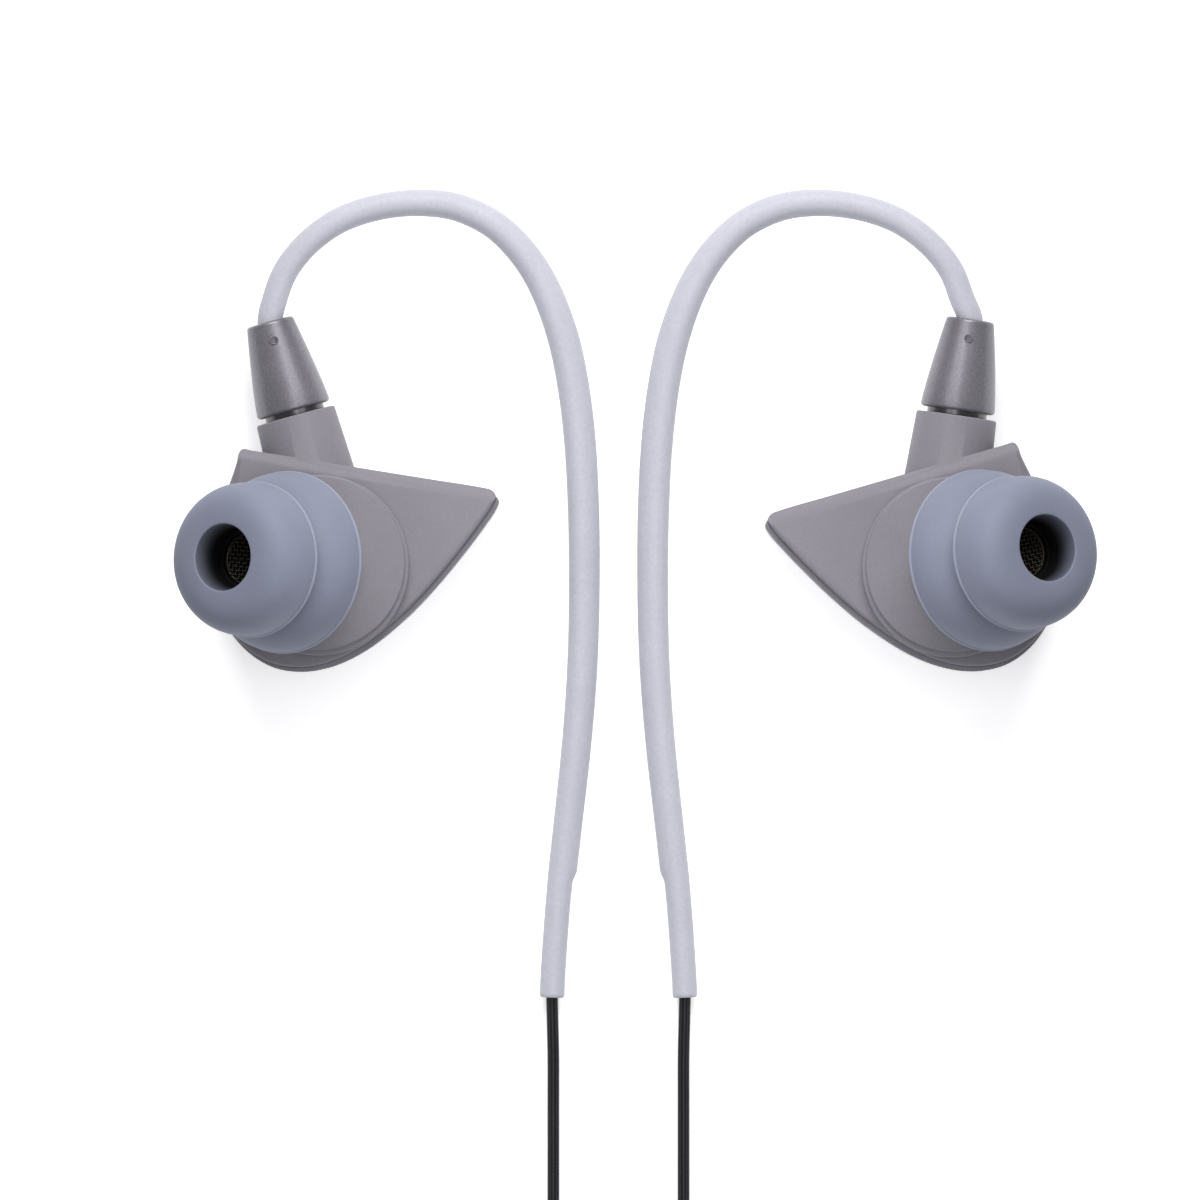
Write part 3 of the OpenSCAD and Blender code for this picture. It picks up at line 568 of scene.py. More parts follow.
def coilTurns(middle, midRadius, columns, width):
    # turns start at the +X side heading -Y; layers go in, then out, each a width higher
    outer = midRadius + width * (columns - 1) / 2
    turns = columns * cord["layers"]

    def cell(k):
        layer, column = divmod(k, columns)
        return (column if layer % 2 == 0 else columns - 1 - column), layer

    spots = []
    for step in range(turns * cord["stepsPerTurn"] + 1):
        turn = step / cord["stepsPerTurn"]
        now = min(int(turn), turns - 1)
        slide = ease(max(0, (turn - now - 1 + cord["shiftPart"]) / cord["shiftPart"]))
        if now == turns - 1:
            slide = 0
        (column, layer), (nextColumn, nextLayer) = cell(now), cell(now + 1)
        radius = outer - width * (column + (nextColumn - column) * slide)
        layer += (nextLayer - layer) * slide
        angle = -math.tau * turn
        spots.append(Vector((middle[0] + radius * math.cos(angle), middle[1] + radius * math.sin(angle),
                             cord["lift"] + width * (layer + 0.5))))
    return spots


def placed(spots, mirror=False):
    return [(Vector((-s[0] if mirror else s[0], s[1], s[2])) + layoutShift) * mm for s in spots]


def wholeRoute(start, coil, end):
    # the coil's ends are already dense, the listed stretches are smoothed to meet them
    first = smoothRoute(vectors(start) + [coil[0]], 4)[:-1]
    last = smoothRoute([coil[-1]] + vectors(end), 5)[1:]
    return first + coil + last


def twinSection():
    # two round strands side by side, joined by a thin web
    width, height = cord["leadWidth"] * mm, cord["leadHeight"] * mm
    outline = []
    for k in range(cord["leadSides"]):
        a = math.tau * (k + 0.5) / cord["leadSides"]
        groove = 1 - cord["strandGroove"] * math.exp(-(math.cos(a) / cord["strandGrooveWidth"]) ** 2)
        spread = max(-1, min(1, math.cos(a) * cord["strandSpread"]))
        outline.append(((width - height) / 2 * spread + height / 2 * math.cos(a),
                        height / 2 * math.sin(a) * groove))
    return lambda i: outline


leadTurns = coilTurns(cord["leadCoil"], cord["leadCoilRadius"], cord["leadColumns"], cord["leadWidth"])
mainTurns = coilTurns(cord["mainCoil"], cord["mainCoilRadius"], cord["mainColumns"], cord["mainWidth"])
for side in ("left", "right"):
    path = placed(wholeRoute(leadOut, leadTurns, leadBack), side == "right")
    lead = meshObject(side + "Lead", sweep(path, twinSection()))
    finishPiece(lead, "lead", "cable", "lead_sheath", side + "_lead", side + "_lead_coil", angle=60)
    print("lead", side, round(routeLength(path), 4))
mainPath = placed(wholeRoute(mainOut, mainTurns, mainBack))
mainCord = meshObject("mainCable", sweep(mainPath, roundSection(cord["mainWidth"] / 2 * mm,
                                                                cord["mainSides"])))
finishPiece(mainCord, "cable", "cable", "cable_sheath", "main_cable", "main_coil", angle=60)
print("main cable", round(routeLength(mainPath), 4))


# shells

shellLook = {
    "top": 7.5, "split": 3.0, "splitGap": 0.02, "wall": 0.9, "edge": 0.3, "reach": 8.0,
    "middle": (0.3, -10.6), "lipShift": (0.1, -0.4), "lipEdge": 0.4, "lipTop": 6.9, "lipRound": 0.1,
    "lipGap": 0.03, "footEdge": 0.12, "stripFrom": (-4.2, -1.5), "stripTo": (12.75, -9.35),
    "stripWidth": 0.85, "stripDrop": 0.42, "housingRadius": 6.75, "housingFrom": 6.0,
    "housingStep": 8.3, "stepShift": (-0.03, 0.2), "housingInset": 0.22, "housingEdge": 0.14,
    "neckRadius": 3.02, "neckRoot": 3.25, "neckLength": 5.2, "neckEdge": 0.12, "neckHole": (3.28, 3.06),
    "collarRadius": 3.2, "collarFrom": -1, "collarTo": 1.2, "collarEdge": 0.2,
    "pocketRadius": 5.1, "pocketTop": 7.9, "nozzleHole": 2.26, "socketHole": 2.36,
    "grooveFrom": 1.9, "grooveTo": 2.2, "grooveDepth": 0.22, "pinFrom": 0.6, "pinTop": 5.0, "pinEdge": 0.12,
    "pinClear": 0.02, "pinRoom": 0.1, "bossWall": 0.45, "bossFrom": 3.2, "bossTo": 6.8,
    "pins": ((9, -10.5, 0.6), (5, -13.4, 0.6), (-7.6, -12.4, 0.45)),
}
shellPoints = [
    (12.75, -9.35), (11.9, -8.85), (9, -7.53), (4, -5.25), (-1, -2.97), (-3.8, -1.69),
    (-4.4, -1.42), (-4.74, -1.62), (-5.12, -2.32), (-6.4, -4.2), (-8.3, -7.1), (-9.25, -10.3),
    (-9.2, -13.3), (-8.2, -15.7), (-6.6, -17.4), (-4.7, -18.25), (-2.8, -18.5),
    (-0.9, -18.3), (1.2, -17.7), (4.4, -16.2), (7, -14.6), (9.4, -12.9), (11.4, -11.35),
    (12.5, -10.4), (12.9, -9.85)]
shellOutline = smoothRoute([Vector((x, y, 0)) for x, y in shellPoints], 5, closed=True)


def wedge(low, high, shrink=0, shift=(0, 0), topEdge=0, bottomEdge=0):
    # the shell's outline as a block, with rounded top or bottom rims
    middle = Vector(shellLook["middle"] + (0,))
    bm = bmesh.new()
    ring = []
    for spot in shellOutline:
        spot = middle + (spot - middle) * (1 - shrink / shellLook["reach"])
        ring.append(bm.verts.new((spot.x + shift[0], spot.y + shift[1], low)))
    made = bmesh.ops.extrude_face_region(bm, geom=[bm.faces.new(ring)])
    lifted = [g for g in made["geom"] if isinstance(g, bmesh.types.BMVert)]
    bmesh.ops.translate(bm, verts=lifted, vec=(0, 0, high - low))
    bmesh.ops.recalc_face_normals(bm, faces=bm.faces)
    for height, edge in ((high, topEdge), (low, bottomEdge)):
        if edge:
            rim = [e for e in bm.edges if all(abs(v.co.z - height) < 1e-5 for v in e.verts)]
            roundRims(bm, rim, edge, 5, clamp=True)
    return bm


def cutStrip(body):
    # slopes the straight top edge of the shell into a narrow strip
    look = shellLook
    start, end = Vector(look["stripFrom"] + (0,)), Vector(look["stripTo"] + (0,))
    along = (end - start).normalized()
    outward = Vector((-along.y, along.x, 0))
    slope = (outward * look["stripDrop"] + Vector((0, 0, look["stripWidth"]))).normalized()
    hinge = start - outward * look["stripWidth"] + Vector((0, 0, look["top"]))
    cut = bmesh.ops.bisect_plane(body, geom=body.verts[:] + body.edges[:] + body.faces[:],
                                 plane_co=hinge, plane_no=slope, clear_outer=True)
    edges = [g for g in cut["geom_cut"] if isinstance(g, bmesh.types.BMEdge)]
    bmesh.ops.edgeloop_fill(body, edges=edges)


def makeInnerShell(side, matrix):
    look = shellLook
    body = wedge(look["split"], look["top"], topEdge=look["edge"])
    cutStrip(body)
    shell = meshObject(side + "InnerShell", body)
    cutShape(shell, wedge(look["split"] - 1, look["top"] - look["wall"], look["wall"]))
    # the driver housing rises in two low steps
    x, y, top = earLook["housingAt"]
    shiftX, shiftY = look["stepShift"]
    addShape(shell, barrel(look["housingRadius"], look["housingFrom"], look["housingStep"], steps=144,
                           edge=look["housingEdge"], topOnly=True), Matrix.Translation((x, y, 0)))
    addShape(shell, barrel(look["housingRadius"] - look["housingInset"], look["housingFrom"], top,
                           steps=144, edge=look["housingEdge"], topOnly=True),
             Matrix.Translation((x + shiftX, y + shiftY, 0)))
    addShape(shell, barrel(look["neckRoot"], -look["neckLength"], 0, look["neckRadius"], steps=96,
                           edge=look["neckEdge"], topOnly=True), onPlug)
    addShape(shell, barrel(look["collarRadius"], look["collarFrom"], look["collarTo"],
                           edge=look["collarEdge"]), onNozzle)
    for pinX, pinY, radius in look["pins"]:
        here = Matrix.Translation((pinX, pinY, 0))
        addShape(shell, barrel(radius + look["bossWall"], look["bossFrom"], look["bossTo"], steps=24), here)
        cutShape(shell, barrel(radius + look["pinClear"], look["split"] - 1,
                               look["pinTop"] + look["pinRoom"], steps=24), here)
    cutShape(shell, barrel(look["pocketRadius"], look["split"] - 1, look["pocketTop"], steps=96),
             Matrix.Translation((x, y, 0)))
    cutShape(shell, barrel(look["nozzleHole"], -3, 9), onNozzle)
    cutShape(shell, barrel(look["socketHole"], -7, 1), onPlug)
    shell.data.transform(matrix)
    return finishPiece(shell, "shell", side + "_earpiece", "shell_plastic", side + "_inner_shell")


def makeOuterShell(side, matrix):
    look = shellLook
    shift = look["lipShift"]
    shell = meshObject(side + "OuterShell", wedge(0, look["split"] - look["splitGap"], 0, shift,
                                                  look["footEdge"], look["lipEdge"]))
    cutShape(shell, wedge(look["wall"], look["split"] + 1, look["wall"], shift))
    # a thin lip of this half rises round the lower side of the other one
    lip = toolShape(wedge(look["split"] - 0.5, look["lipTop"], 0, shift, look["lipRound"]))
    cutShape(lip, wedge(look["split"] - 1, look["top"] + 1, -look["lipGap"]))
    joinShape(shell, lip, "UNION")
    # a shallow groove runs round the faceplate
    groove = toolShape(wedge(-1, look["grooveDepth"], look["grooveFrom"], shift))
    cutShape(groove, wedge(-2, 1, look["grooveTo"], shift))
    joinShape(shell, groove, "DIFFERENCE")
    root, top = look["neckHole"]
    cutShape(shell, barrel(root, -6, 1, top, steps=96), onPlug)
    for x, y, radius in look["pins"]:
        addShape(shell, barrel(radius, look["pinFrom"], look["pinTop"], steps=24, edge=look["pinEdge"]),
                 Matrix.Translation((x, y, 0)))
    shell.data.transform(matrix)
    return finishPiece(shell, "shell", side + "_earpiece", "shell_plastic", side + "_outer_shell")


# ear tip and nozzle mesh

tipLook = {
    "start": 2.35, "startEdge": 0.15, "mouth": 12.6, "mouthRadius": 2.47, "mouthEdge": 0.12,
    "bore": 2.2, "boreFrom": 9.78, "socket": 2.48, "socketTop": 9.76, "core": 3.1,
    "largeRim": (6.8, 4.35), "largeDome": 3.45, "largeHollow": 3.0, "largeCore": 7.2,
    "waist": ((0.25, 8.02), (0, 8.3)), "smallRim": (5.8, 8.7), "smallHollow": 2.5, "smallCore": 11.0,
    "skin": 0.42, "rimBead": 0.17, "fullness": 2.6, "shadeFrom": 0.35, "shadeDepth": 2.4,
    "rimLightPaint": 0.3, "steps": 128,
}


def fullArc(middle, across, up, start, end, count):
    # like arc, but bulging towards a square shape
    power = 2 / tipLook["fullness"]
    turns = [math.radians(start + (end - start) * i / count) for i in range(count + 1)]
    return [(middle[0] + across * abs(math.cos(a)) ** power, middle[1] + up * abs(math.sin(a)) ** power)
            for a in turns]


def flangeRim(radius, height):
    # a small rounded bead that stands proud all round the flange's edge
    bead = tipLook["rimBead"]
    return arc((radius - bead, height + 0.02), bead, bead, -150, 62, 9)


def tipProfile():
    look = tipLook
    core, skin, edge = look["core"], look["skin"], look["startEdge"]
    largeR, largeZ = look["largeRim"]
    smallR, smallZ = look["smallRim"]
    mouthR, mouthTop = look["mouthRadius"], look["mouth"]
    mouthEdge = look["mouthEdge"]
    profile = [(look["socket"], look["start"] + edge), (look["socket"] + edge, look["start"]),
               (core - edge, look["start"]), (core, look["start"] + edge)]
    # under the large flange, round its rim and over its dome
    profile += [(core, look["largeCore"])]
    profile += arc((core, largeZ + 0.2), largeR - skin - core, look["largeHollow"], 82, 4, 12)
    profile += flangeRim(largeR, largeZ)
    profile += arc((core, largeZ + 0.3), largeR - 0.1 - core, look["largeDome"], 5, 76, 18)
    profile += [(core + out, height) for out, height in look["waist"]]
    # under the small flange, round its rim and over its dome to the mouth
    profile += [(core, look["smallCore"])]
    profile += arc((core, smallZ + 0.2), smallR - skin - core, look["smallHollow"], 78, 4, 10)
    profile += flangeRim(smallR, smallZ)
    profile += fullArc((mouthR + 0.1, smallZ + 0.3), smallR - 0.1 - mouthR - 0.1, mouthTop - smallZ - 0.3,
                       4, 88, 26)
    profile += arc((mouthR + mouthEdge, mouthTop - mouthEdge), mouthEdge, mouthEdge, 90, 180, 5)
    # down the bore to the step where the nozzle ends
    profile += [(mouthR - 0.02, mouthTop - 0.4), (mouthR - 0.05, mouthTop - 0.8),
                (look["bore"] + 0.08, mouthTop - 1.3), (look["bore"] + 0.02, 10.7),
                (look["bore"], look["boreFrom"]), (look["socket"], look["socketTop"])]
    return profile


def makeEarTip(side, matrix):
    look = tipLook
    bm = lathe(tipProfile(), look["steps"])
    # little light reaches into the bore, so painted shade darkens its walls with depth,
    # and painted light brightens the thin edges of the flanges, where light shines through
    boreShadeLayer = bm.verts.layers.float.new("paintedBoreShade")
    edges = bm.verts.layers.float.new("paintedRimLight")
    for vert in bm.verts:
        out = math.hypot(vert.co.x, vert.co.y)
        down = look["mouth"] - vert.co.z
        if out < look["mouthRadius"] + 0.03 and down > 0.05:
            vert[boreShadeLayer] = min(1, look["shadeFrom"] + down / look["shadeDepth"])
        # painted light on the thin rims of both flanges
        for radius, height in (look["largeRim"], look["smallRim"]):
            if out > radius - 0.07 and abs(vert.co.z - height) < 0.16:
                vert[edges] = look["rimLightPaint"]
    tip = meshObject(side + "EarTip", toFrame(bm, matrix @ onNozzle))
    return finishPiece(tip, "silicone", side + "_tip", "silicone", side + "_ear_tip", angle=40)


def makeNozzleMesh(side, matrix):
    # plain-woven wires in a round frame
    look = {"radius": 1.8, "pitch": 0.3, "wire": 0.07, "height": 9.4, "step": 0.1, "margin": 0.03,
            "weave": 0.9, "band": ((1.75, 9.30), (1.94, 9.30), (1.94, 9.42), (1.75, 9.42))}
    whole = bmesh.new()
    count = int(look["radius"] / look["pitch"])
    for across in (0, 1):
        for k in range(-count, count + 1):
            offset = k * look["pitch"]
            reach = math.sqrt(max(look["radius"] ** 2 - offset ** 2, 0)) - look["margin"]
            steps = int(reach / look["step"])
            if steps < 1:
                continue
            path = []
            for along in (j * look["step"] for j in range(-steps, steps + 1)):
                over = math.cos(math.pi * (along / look["pitch"] + k + across)) * look["wire"] * look["weave"]
                spot = (offset, along) if across else (along, offset)
                path.append(Vector(spot + (look["height"] + over,)))
            addMesh(whole, sweep(path, roundSection(look["wire"], 6)))
    addMesh(whole, lathe(look["band"], 64))
    mesh = meshObject(side + "NozzleMesh", toFrame(whole, matrix @ onNozzle))
    for face in mesh.data.polygons:
        face.use_smooth = True
    return finishPiece(mesh, "wire", side + "_earpiece", "dark_mesh", side + "_nozzle_mesh", angle=None)


# boot and guide

def makeBoot(side, matrix):
    look = {"gap": 0.4, "length": 6.9, "wide": 2.8, "narrow": 1.82, "edge": 0.26, "swell": 1.22,
            "rows": 12, "back": 2.6, "socket": 1.9, "hole": 0.97, "steps": 112,
            "dotRadius": 0.29, "dotAt": 5.84, "dotFloor": 1.94, "dotCut": 1.42, "dotBead": 0.05,
            "beadAt": 2.14}
    low, high, edge = look["gap"], look["gap"] + look["length"], look["edge"]
    profile = arc((look["wide"] - edge, low + edge), edge, edge, -90, 0, 5)
    for k in range(1, look["rows"]):
        f = k / look["rows"]
        profile.append((look["wide"] + (look["narrow"] - look["wide"]) * f ** look["swell"],
                        low + edge + (look["length"] - 2 * edge) * f))
    profile += arc((look["narrow"] - edge, high - edge), edge, edge, 0, 90, 5)
    profile += [(look["hole"], high), (look["hole"], look["back"]), (look["socket"], look["back"]),
                (look["socket"], low)]
    boot = meshObject(side + "Boot", lathe(profile, look["steps"]))
    boot.data.transform(onPlug)
    # the locating dot: a shallow hole with a fine bead round it
    dotFoot = Vector((0, look["dotAt"], earLook["plugHeight"]))
    cutShape(boot, barrel(look["dotRadius"], 0, look["dotCut"], steps=32),
             Matrix.Translation(dotFoot + Vector((0, 0, look["dotFloor"]))))
    addShape(boot, lathe(arc((look["dotRadius"], 0), look["dotBead"], look["dotBead"], 0, 330, 10), 32),
             Matrix.Translation(dotFoot + Vector((0, 0, look["beadAt"]))))
    boot.data.transform(matrix)
    return finishPiece(boot, "boot", "cable", "boot_metal", side + "_boot", angle=42)


hookPoints = [
    (-25.75, 22.65, 4), (-25, 24.6, 4), (-23.8, 26.25, 4), (-22.1, 27.75, 4),
    (-20.3, 28.76, 3.95), (-17.6, 29.55, 3.9), (-14.9, 29.78, 3.8), (-12.2, 29.45, 3.7),
    (-9.5, 28.2, 3.6), (-7.6, 26.45, 3.5), (-6.15, 24.4, 3.4), (-5, 21.9, 3.3),
    (-4.1, 19, 3.1), (-3.45, 15.6, 2.9), (-3, 11.6, 2.7), (-2.75, 6.5, 2.4),
    (-2.7, 1, 2), (-2.85, -5, 1.7), (-3.3, -11, 1.4), (-3.9, -16.5, 1.2),
    (-4.2, -19.2, 1.15), (-4.42, -21.3, 1.1), (-4.75, -25.4, 1.02), (-4.95, -28.6, 1),
    (-5, -29.9, 1)]
guideLook = {
    "startRadius": 0.93, "swell": 0.13, "swellEnd": 0.95, "swellPower": 1.5, "lumen": 0.76,
    "seat": 3.2, "onAxis": (5.2, 7.2), "parts": 8, "sides": 28, "endEdge": 0.25, "endRound": 0.09,
    "endRings": (0.28, 0.2, 0.12, 0.05, 0), "endTrim": 0.3, "wireBump": 0.26, "bumpFrom": 0.22,
    "bumpOver": 0.2, "wireEndY": -21.2, "wireEndRun": 1.0,
}


def guidePath(side, matrix):
    # the last stretch is drawn again with rings close together, for its rounded end
    look = guideLook
    head = [matrix @ Vector((0, along, earLook["plugHeight"])) for along in (look["seat"],) + look["onAxis"]]
    path = smoothRoute(head + placed(hookPoints, side == "right"), look["parts"])
    end = path[-1]
    ahead = (path[-1] - path[-2]).normalized()
    kept = [p for p in path if (p - end).length > look["endTrim"] * mm]
    return kept + [end - ahead * back * mm for back in look["endRings"]]


def guideRings(path):
    # the sleeve's radius at each ring and how far the memory wire bulges it there
    look = guideLook
    rings = []
    total = routeLength(path)
    gone = 0
    wireEnd = (look["wireEndY"] + layoutShift.y) * mm
    for i, spot in enumerate(path):
        if i:
            gone += (spot - path[i - 1]).length
        f = gone / total
        swell = math.sin(math.pi * min(1, f / look["swellEnd"])) ** look["swellPower"]
        ending = min(1, max(0, (total - gone) / (look["endEdge"] * mm)))
        radius = look["startRadius"] + look["swell"] * swell - look["endRound"] * (1 - ending) ** 2
        left = (spot.y - wireEnd) / (look["wireEndRun"] * mm)
        bulge = 1 if i < len(path) // 2 else ease(max(0, min(1, left)))
        bulge *= min(1, max(0, (f - look["bumpFrom"]) / look["bumpOver"]))
        rings.append((radius * mm, bulge * look["wireBump"] * mm))
    return rings


def makeGuide(side, matrix):
    look = guideLook
    path = guidePath(side, matrix)
    rings = guideRings(path)
    hand = 1 if side == "left" else -1
    turns = [math.tau * k / look["sides"] for k in range(look["sides"])]

    def outside(i):
        radius, bulge = rings[i]
        return [((radius + bulge * max(0, -hand * math.cos(a)) ** 2) * math.cos(a), radius * math.sin(a))
                for a in turns]

    # both ends are opened and joined to a smaller tube inside
    bm = sweep(path, outside)
    inner = sweep(path, roundSection(look["lumen"] * mm, look["sides"]))
    for tube in (bm, inner):
        caps = [f for f in tube.faces if len(f.verts) == look["sides"]]
        bmesh.ops.delete(tube, geom=caps, context="FACES_ONLY")
    addMesh(bm, inner)
    openEdges = [e for e in bm.edges if e.is_boundary]
    for spot in (path[0], path[-1]):
        near = [e for e in openEdges if (e.verts[0].co - spot).length < 2 * mm]
        bmesh.ops.bridge_loops(bm, edges=near)
    bmesh.ops.recalc_face_normals(bm, faces=bm.faces)
    guide = meshObject(side + "EarGuide", bm)
    return finishPiece(guide, "sleeve", "cable", "guide_silicone", side + "_ear_guide", angle=40)


# splitter, slider and ties

def ovalRing(bm, wide, high, y, z, steps=32):
    # a flat oval ring of vertices across the cable
    spots = []
    for k in range(steps):
        a = math.tau * k / steps
        side = (wide - high) / 2 * (1 if math.cos(a) >= 0 else -1)
        spots.append(bm.verts.new((side + high / 2 * math.cos(a), y, z + high / 2 * math.sin(a))))
    return spots


def ovalLoft(rows, z):
    # rows are (y, width, height); each ring is bridged to the next and the ends are closed
    bm = bmesh.new()
    rings = [ovalRing(bm, wide, high, y, z) for y, wide, high in rows]
    loops = [[bm.edges.new((ring[k], ring[(k + 1) % len(ring)])) for k in range(len(ring))]
             for ring in rings]
    for a, b in zip(loops, loops[1:]):
        bmesh.ops.bridge_loops(bm, edges=a + b)
    bm.faces.new(rings[0])
    bm.faces.new(rings[-1])
    bmesh.ops.recalc_face_normals(bm, faces=bm.faces)
    return bm


def makeSplitter():
    # a tapered body with three strain relief grooves at its thin end
    look = {"z": 1.4, "height": 2.76, "grooves": (-88.4, -87.4, -86.4), "grooveDepth": 0.3}
    h = look["height"]
    rows = [(-89.98, 2.6, 2.3), (-89.8, 2.9, 2.6), (-89.2, 3.1, h)]
    for y in look["grooves"]:
        floor = h - look["grooveDepth"]
        rows += [(y - 0.25, 3.2, h), (y - 0.1, 2.95, floor), (y + 0.1, 2.95, floor), (y + 0.25, 3.25, h)]
    rows += [(-85.4, 3.5, h), (-84, 4.2, h), (-82.5, 4.75, h), (-81, 4.92, h), (-79, 4.96, h),
             (-78.4, 4.9, h - 0.06), (-78.1, 4.7, h - 0.3), (-78.0, 4.4, h - 0.6)]
    splitter = meshObject("ySplitter", ovalLoft(rows, look["z"]))
    splitter.data.transform(inLayout)
    return finishPiece(splitter, "black", "cable", "black_plastic", "y_splitter", angle=40)


def makeSlider():
    look = {"z": 1.4, "gap": 0.8, "hole": 0.52, "holeFrom": -78.5, "holeLength": 6.5}
    rows = [(-77.48, 3.7, 1.9), (-77.35, 4.1, 2.3), (-77.1, 4.36, 2.54), (-75.6, 4.36, 2.54),
            (-75.3, 4.1, 2.3), (-74.7, 4.1, 2.3), (-74.4, 4.36, 2.54), (-72.9, 4.36, 2.54),
            (-72.65, 4.1, 2.3), (-72.52, 3.7, 1.9)]
    slider = meshObject("chinSlider", ovalLoft(rows, look["z"]))
    for k in (-1, 1):
        cutShape(slider, barrel(look["hole"], 0, look["holeLength"], steps=32),
                 Matrix.Translation((k * look["gap"], look["holeFrom"], look["z"]))
                 @ Matrix.Rotation(math.radians(-90), 4, "X"))
    slider.data.transform(inLayout)
    return finishPiece(slider, "black", "chin_slider", "black_plastic", "chin_slider", angle=40)


def strapLoop(half, tall, bend):
    # a rounded rectangle of (across, up) points
    x, z = half - bend, tall / 2 - bend
    spots = []
    for middle, start in (((x, z), 0), ((-x, z), 90), ((-x, -z), 180), ((x, -z), 270)):
        spots += arc(middle, bend, bend, start, start + 90, 5)
    return spots


def makeTies():
    # a thin strap round the far side of each coil; the right lead's one is a mirror image
    look = {"wide": 2.3, "thick": 0.28, "round": 0.5, "slack": 0.04, "edge": 0.06}
    leadCoil = (cord["leadCoil"], cord["leadCoilRadius"], cord["leadColumns"], cord["leadWidth"])
    mainCoil = (cord["mainCoil"], cord["mainCoilRadius"], cord["mainColumns"], cord["mainWidth"])
    whole = bmesh.new()
    for (at, radius, columns, width), mirror in ((leadCoil, False), (leadCoil, True), (mainCoil, False)):
        half = columns * width / 2 + look["slack"]
        tall = cord["layers"] * width + look["slack"]
        middle = Vector((at[0] - radius, at[1], cord["lift"] - look["slack"] / 2 + tall / 2))
        bm = bmesh.new()
        dots = [bm.verts.new(middle + Vector((x, -look["wide"] / 2, z)))
                for x, z in strapLoop(half, tall, min(look["round"], half * 0.45))]
        lines = [bm.edges.new((dots[k], dots[(k + 1) % len(dots)])) for k in range(len(dots))]
        made = bmesh.ops.extrude_edge_only(bm, edges=lines)
        moved = [g for g in made["geom"] if isinstance(g, bmesh.types.BMVert)]
        bmesh.ops.translate(bm, verts=moved, vec=(0, look["wide"], 0))
        bmesh.ops.recalc_face_normals(bm, faces=bm.faces)
        if sum(f.normal.dot(f.calc_center_median() - middle) for f in bm.faces) < 0:
            bmesh.ops.reverse_faces(bm, faces=bm.faces)
        bmesh.ops.solidify(bm, geom=bm.faces, thickness=-look["thick"])
        bmesh.ops.recalc_face_normals(bm, faces=bm.faces)
        rims = [e for e in bm.edges if len(e.link_faces) == 2 and e.calc_face_angle(0) > 1]
        roundRims(bm, rims, look["edge"], 2)
        if mirror:
            bmesh.ops.scale(bm, vec=(-1, 1, 1), verts=bm.verts)
            bmesh.ops.reverse_faces(bm, faces=bm.faces)
        addMesh(whole, bm)
    ties = meshObject("cableTies", toFrame(whole, inLayout))
    return finishPiece(ties, "strap", "cable", "tie_fabric", "cable_ties", angle=40)


# jack: its profiles are (radius, distance along the plug)

jackLook = {
    "at": (11, -114.5, 3.5), "radius": 1.75, "core": 0.72, "reliefRibs": 5,
    "ribPitch": 1.5, "grip": (10, 27), "gripGrooves": 6, "groovePitch": 0.7, "gripRadius": 3.48,
    "bands": (32.8, 35.9), "bandWidth": 0.7, "bandInset": 0.01,
}
onJack = (inLayout @ Matrix.Translation(jackLook["at"])
          @ Matrix.Rotation(math.radians(90), 4, "Y"))


def reliefProfile():
    # a tapered strain relief with ribs
    profile = [(1.02, 0), (1.5, 0), (1.58, 0.15)]
    for k in range(jackLook["reliefRibs"]):
        low = 0.7 + jackLook["ribPitch"] * k
        wide = 1.6 + 0.9 * low / 10
        profile += [(wide, low), (wide, low + 0.75), (wide - 0.32, low + 0.85), (wide - 0.30, low + 1.35)]
    return profile + [(2.42, 8.4), (2.48, 9.9), (2.45, 10), (0.9, 10), (0.9, 0.6), (1.02, 0.5)]


def gripProfile():
    # the turned housing, with fine grip grooves near the cable
    wide, (start, end) = jackLook["gripRadius"], jackLook["grip"]
    profile = [(0.8, start), (2.95, start), (3.3, 10.25), (wide, 10.6), (wide, 12.2)]
    for k in range(jackLook["gripGrooves"]):
        low = 12.4 + jackLook["groovePitch"] * k
        profile += [(wide, low), (3.3, low + 0.12), (3.3, low + 0.38), (wide, low + 0.5)]
    return profile + [(wide, 26.4), (3.4, 26.7), (3.05, end), (0.8, end)]


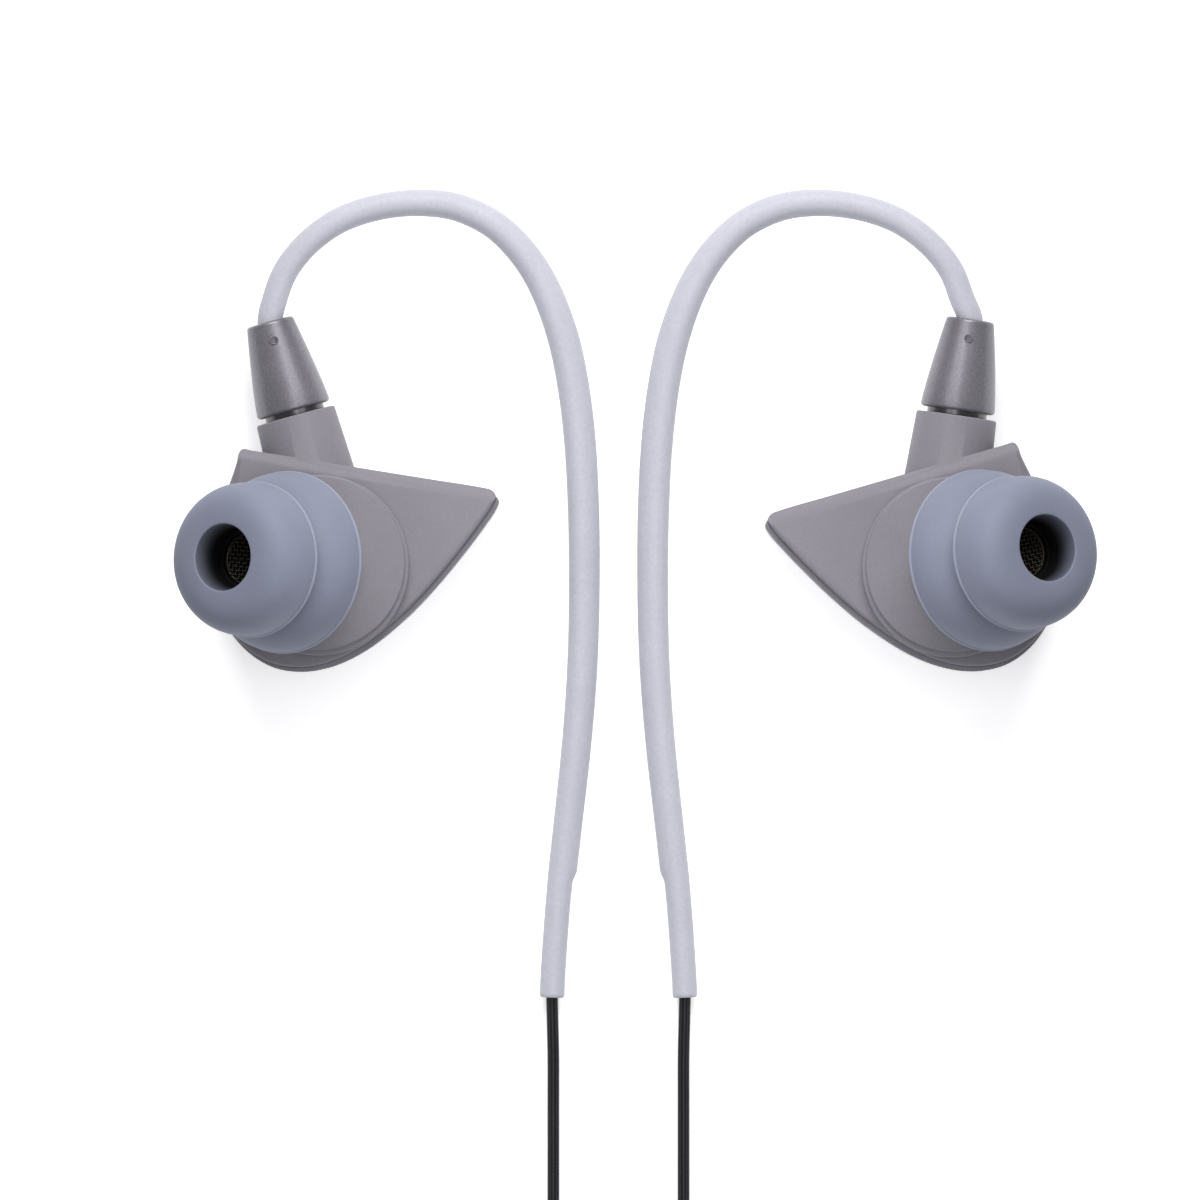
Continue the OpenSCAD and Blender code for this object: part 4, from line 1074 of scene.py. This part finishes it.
def makeJack():
    look = jackLook
    core, radius = look["core"], look["radius"]
    sleeve = [(core, 27), (2.6, 27), (2.69, 27.1), (2.69, 27.68), (2.6, 27.8), (radius, 27.8),
              (radius, 32.8), (core, 32.8)]
    ring = [(core, 33.5), (radius, 33.5), (radius, 35.9), (core, 35.9)]
    point = [(0, 27.8), (0.7, 27.8), (0.7, 36.6), (1.55, 36.6), (1.55, 37.2), (1.4, 37.6),
             (1.17, 38.0), (1.15, 38.15), (1.22, 38.3), (1.6, 38.75), (1.69, 38.95), (1.7, 39.2),
             (1.64, 39.5), (1.0, 40.8), (0.62, 41.45), (0.42, 41.7), (0.2, 41.79), (0, 41.8)]
    insulators = bmesh.new()
    bandRadius = radius - look["bandInset"]
    for low in look["bands"]:
        high = low + look["bandWidth"]
        band = [(core, low), (bandRadius, low), (bandRadius, high), (core, high)]
        addMesh(insulators, lathe(band, 64))
    parts = [
        ("jackBoot", lathe(reliefProfile(), 64), "black", "black_plastic", "jack_boot"),
        ("jackHousing", lathe(gripProfile(), 96), "housing", "dark_metal", "jack_housing"),
        ("jackSleeve", lathe(sleeve, 64), "gold", "gold_contact", "jack_sleeve"),
        ("jackRing", lathe(ring, 64), "gold", "gold_contact", "jack_ring"),
        ("jackTip", lathe(point, 64, closed=False), "gold", "gold_contact", "jack_tip"),
        ("jackInsulators", insulators, "black", "black_plastic", "jack_insulators"),
    ]
    return [finishPiece(meshObject(name, toFrame(bm, onJack)), finish, "cable", slot, node, angle=30)
            for name, bm, finish, slot, node in parts]


# the CAD's own inner pieces keep their shape and get their finish

keptNodes = {
    "nozzle": "nozzle", "driver_frame": "darkMetal", "diaphragm": "film", "voice_coil": "copper",
    "magnet": "nickel", "yoke": "nickel", "socket_body": "gold", "socket_insulator": "white",
    "socket_contact": "gold", "driver_wires": "copper", "snap_ring": "steel",
    "plug_barrel": "darkMetal", "plug_insulator": "white", "plug_pin": "gold",
    "memory_wire": "steel", "inner_lead": "lead",
}


def dressNode(node, finish):
    thing = frame["nodes"][node]
    if not thing.data.materials:
        thing.data.materials.append(finish)
    for slot in thing.material_slots:
        slot.material = finish


for side in ("left", "right"):
    matrix = earMatrix(side)
    for make in (makeInnerShell, makeOuterShell, makeEarTip, makeNozzleMesh, makeBoot, makeGuide):
        make(side, matrix)
    for node, finish in keptNodes.items():
        dressNode(side + "_" + node, finishes[finish])
    print("made", side, "earpiece")

splitter = makeSplitter()
slider = makeSlider()
ties = makeTies()
jackPieces = makeJack()
print("made cable pieces")
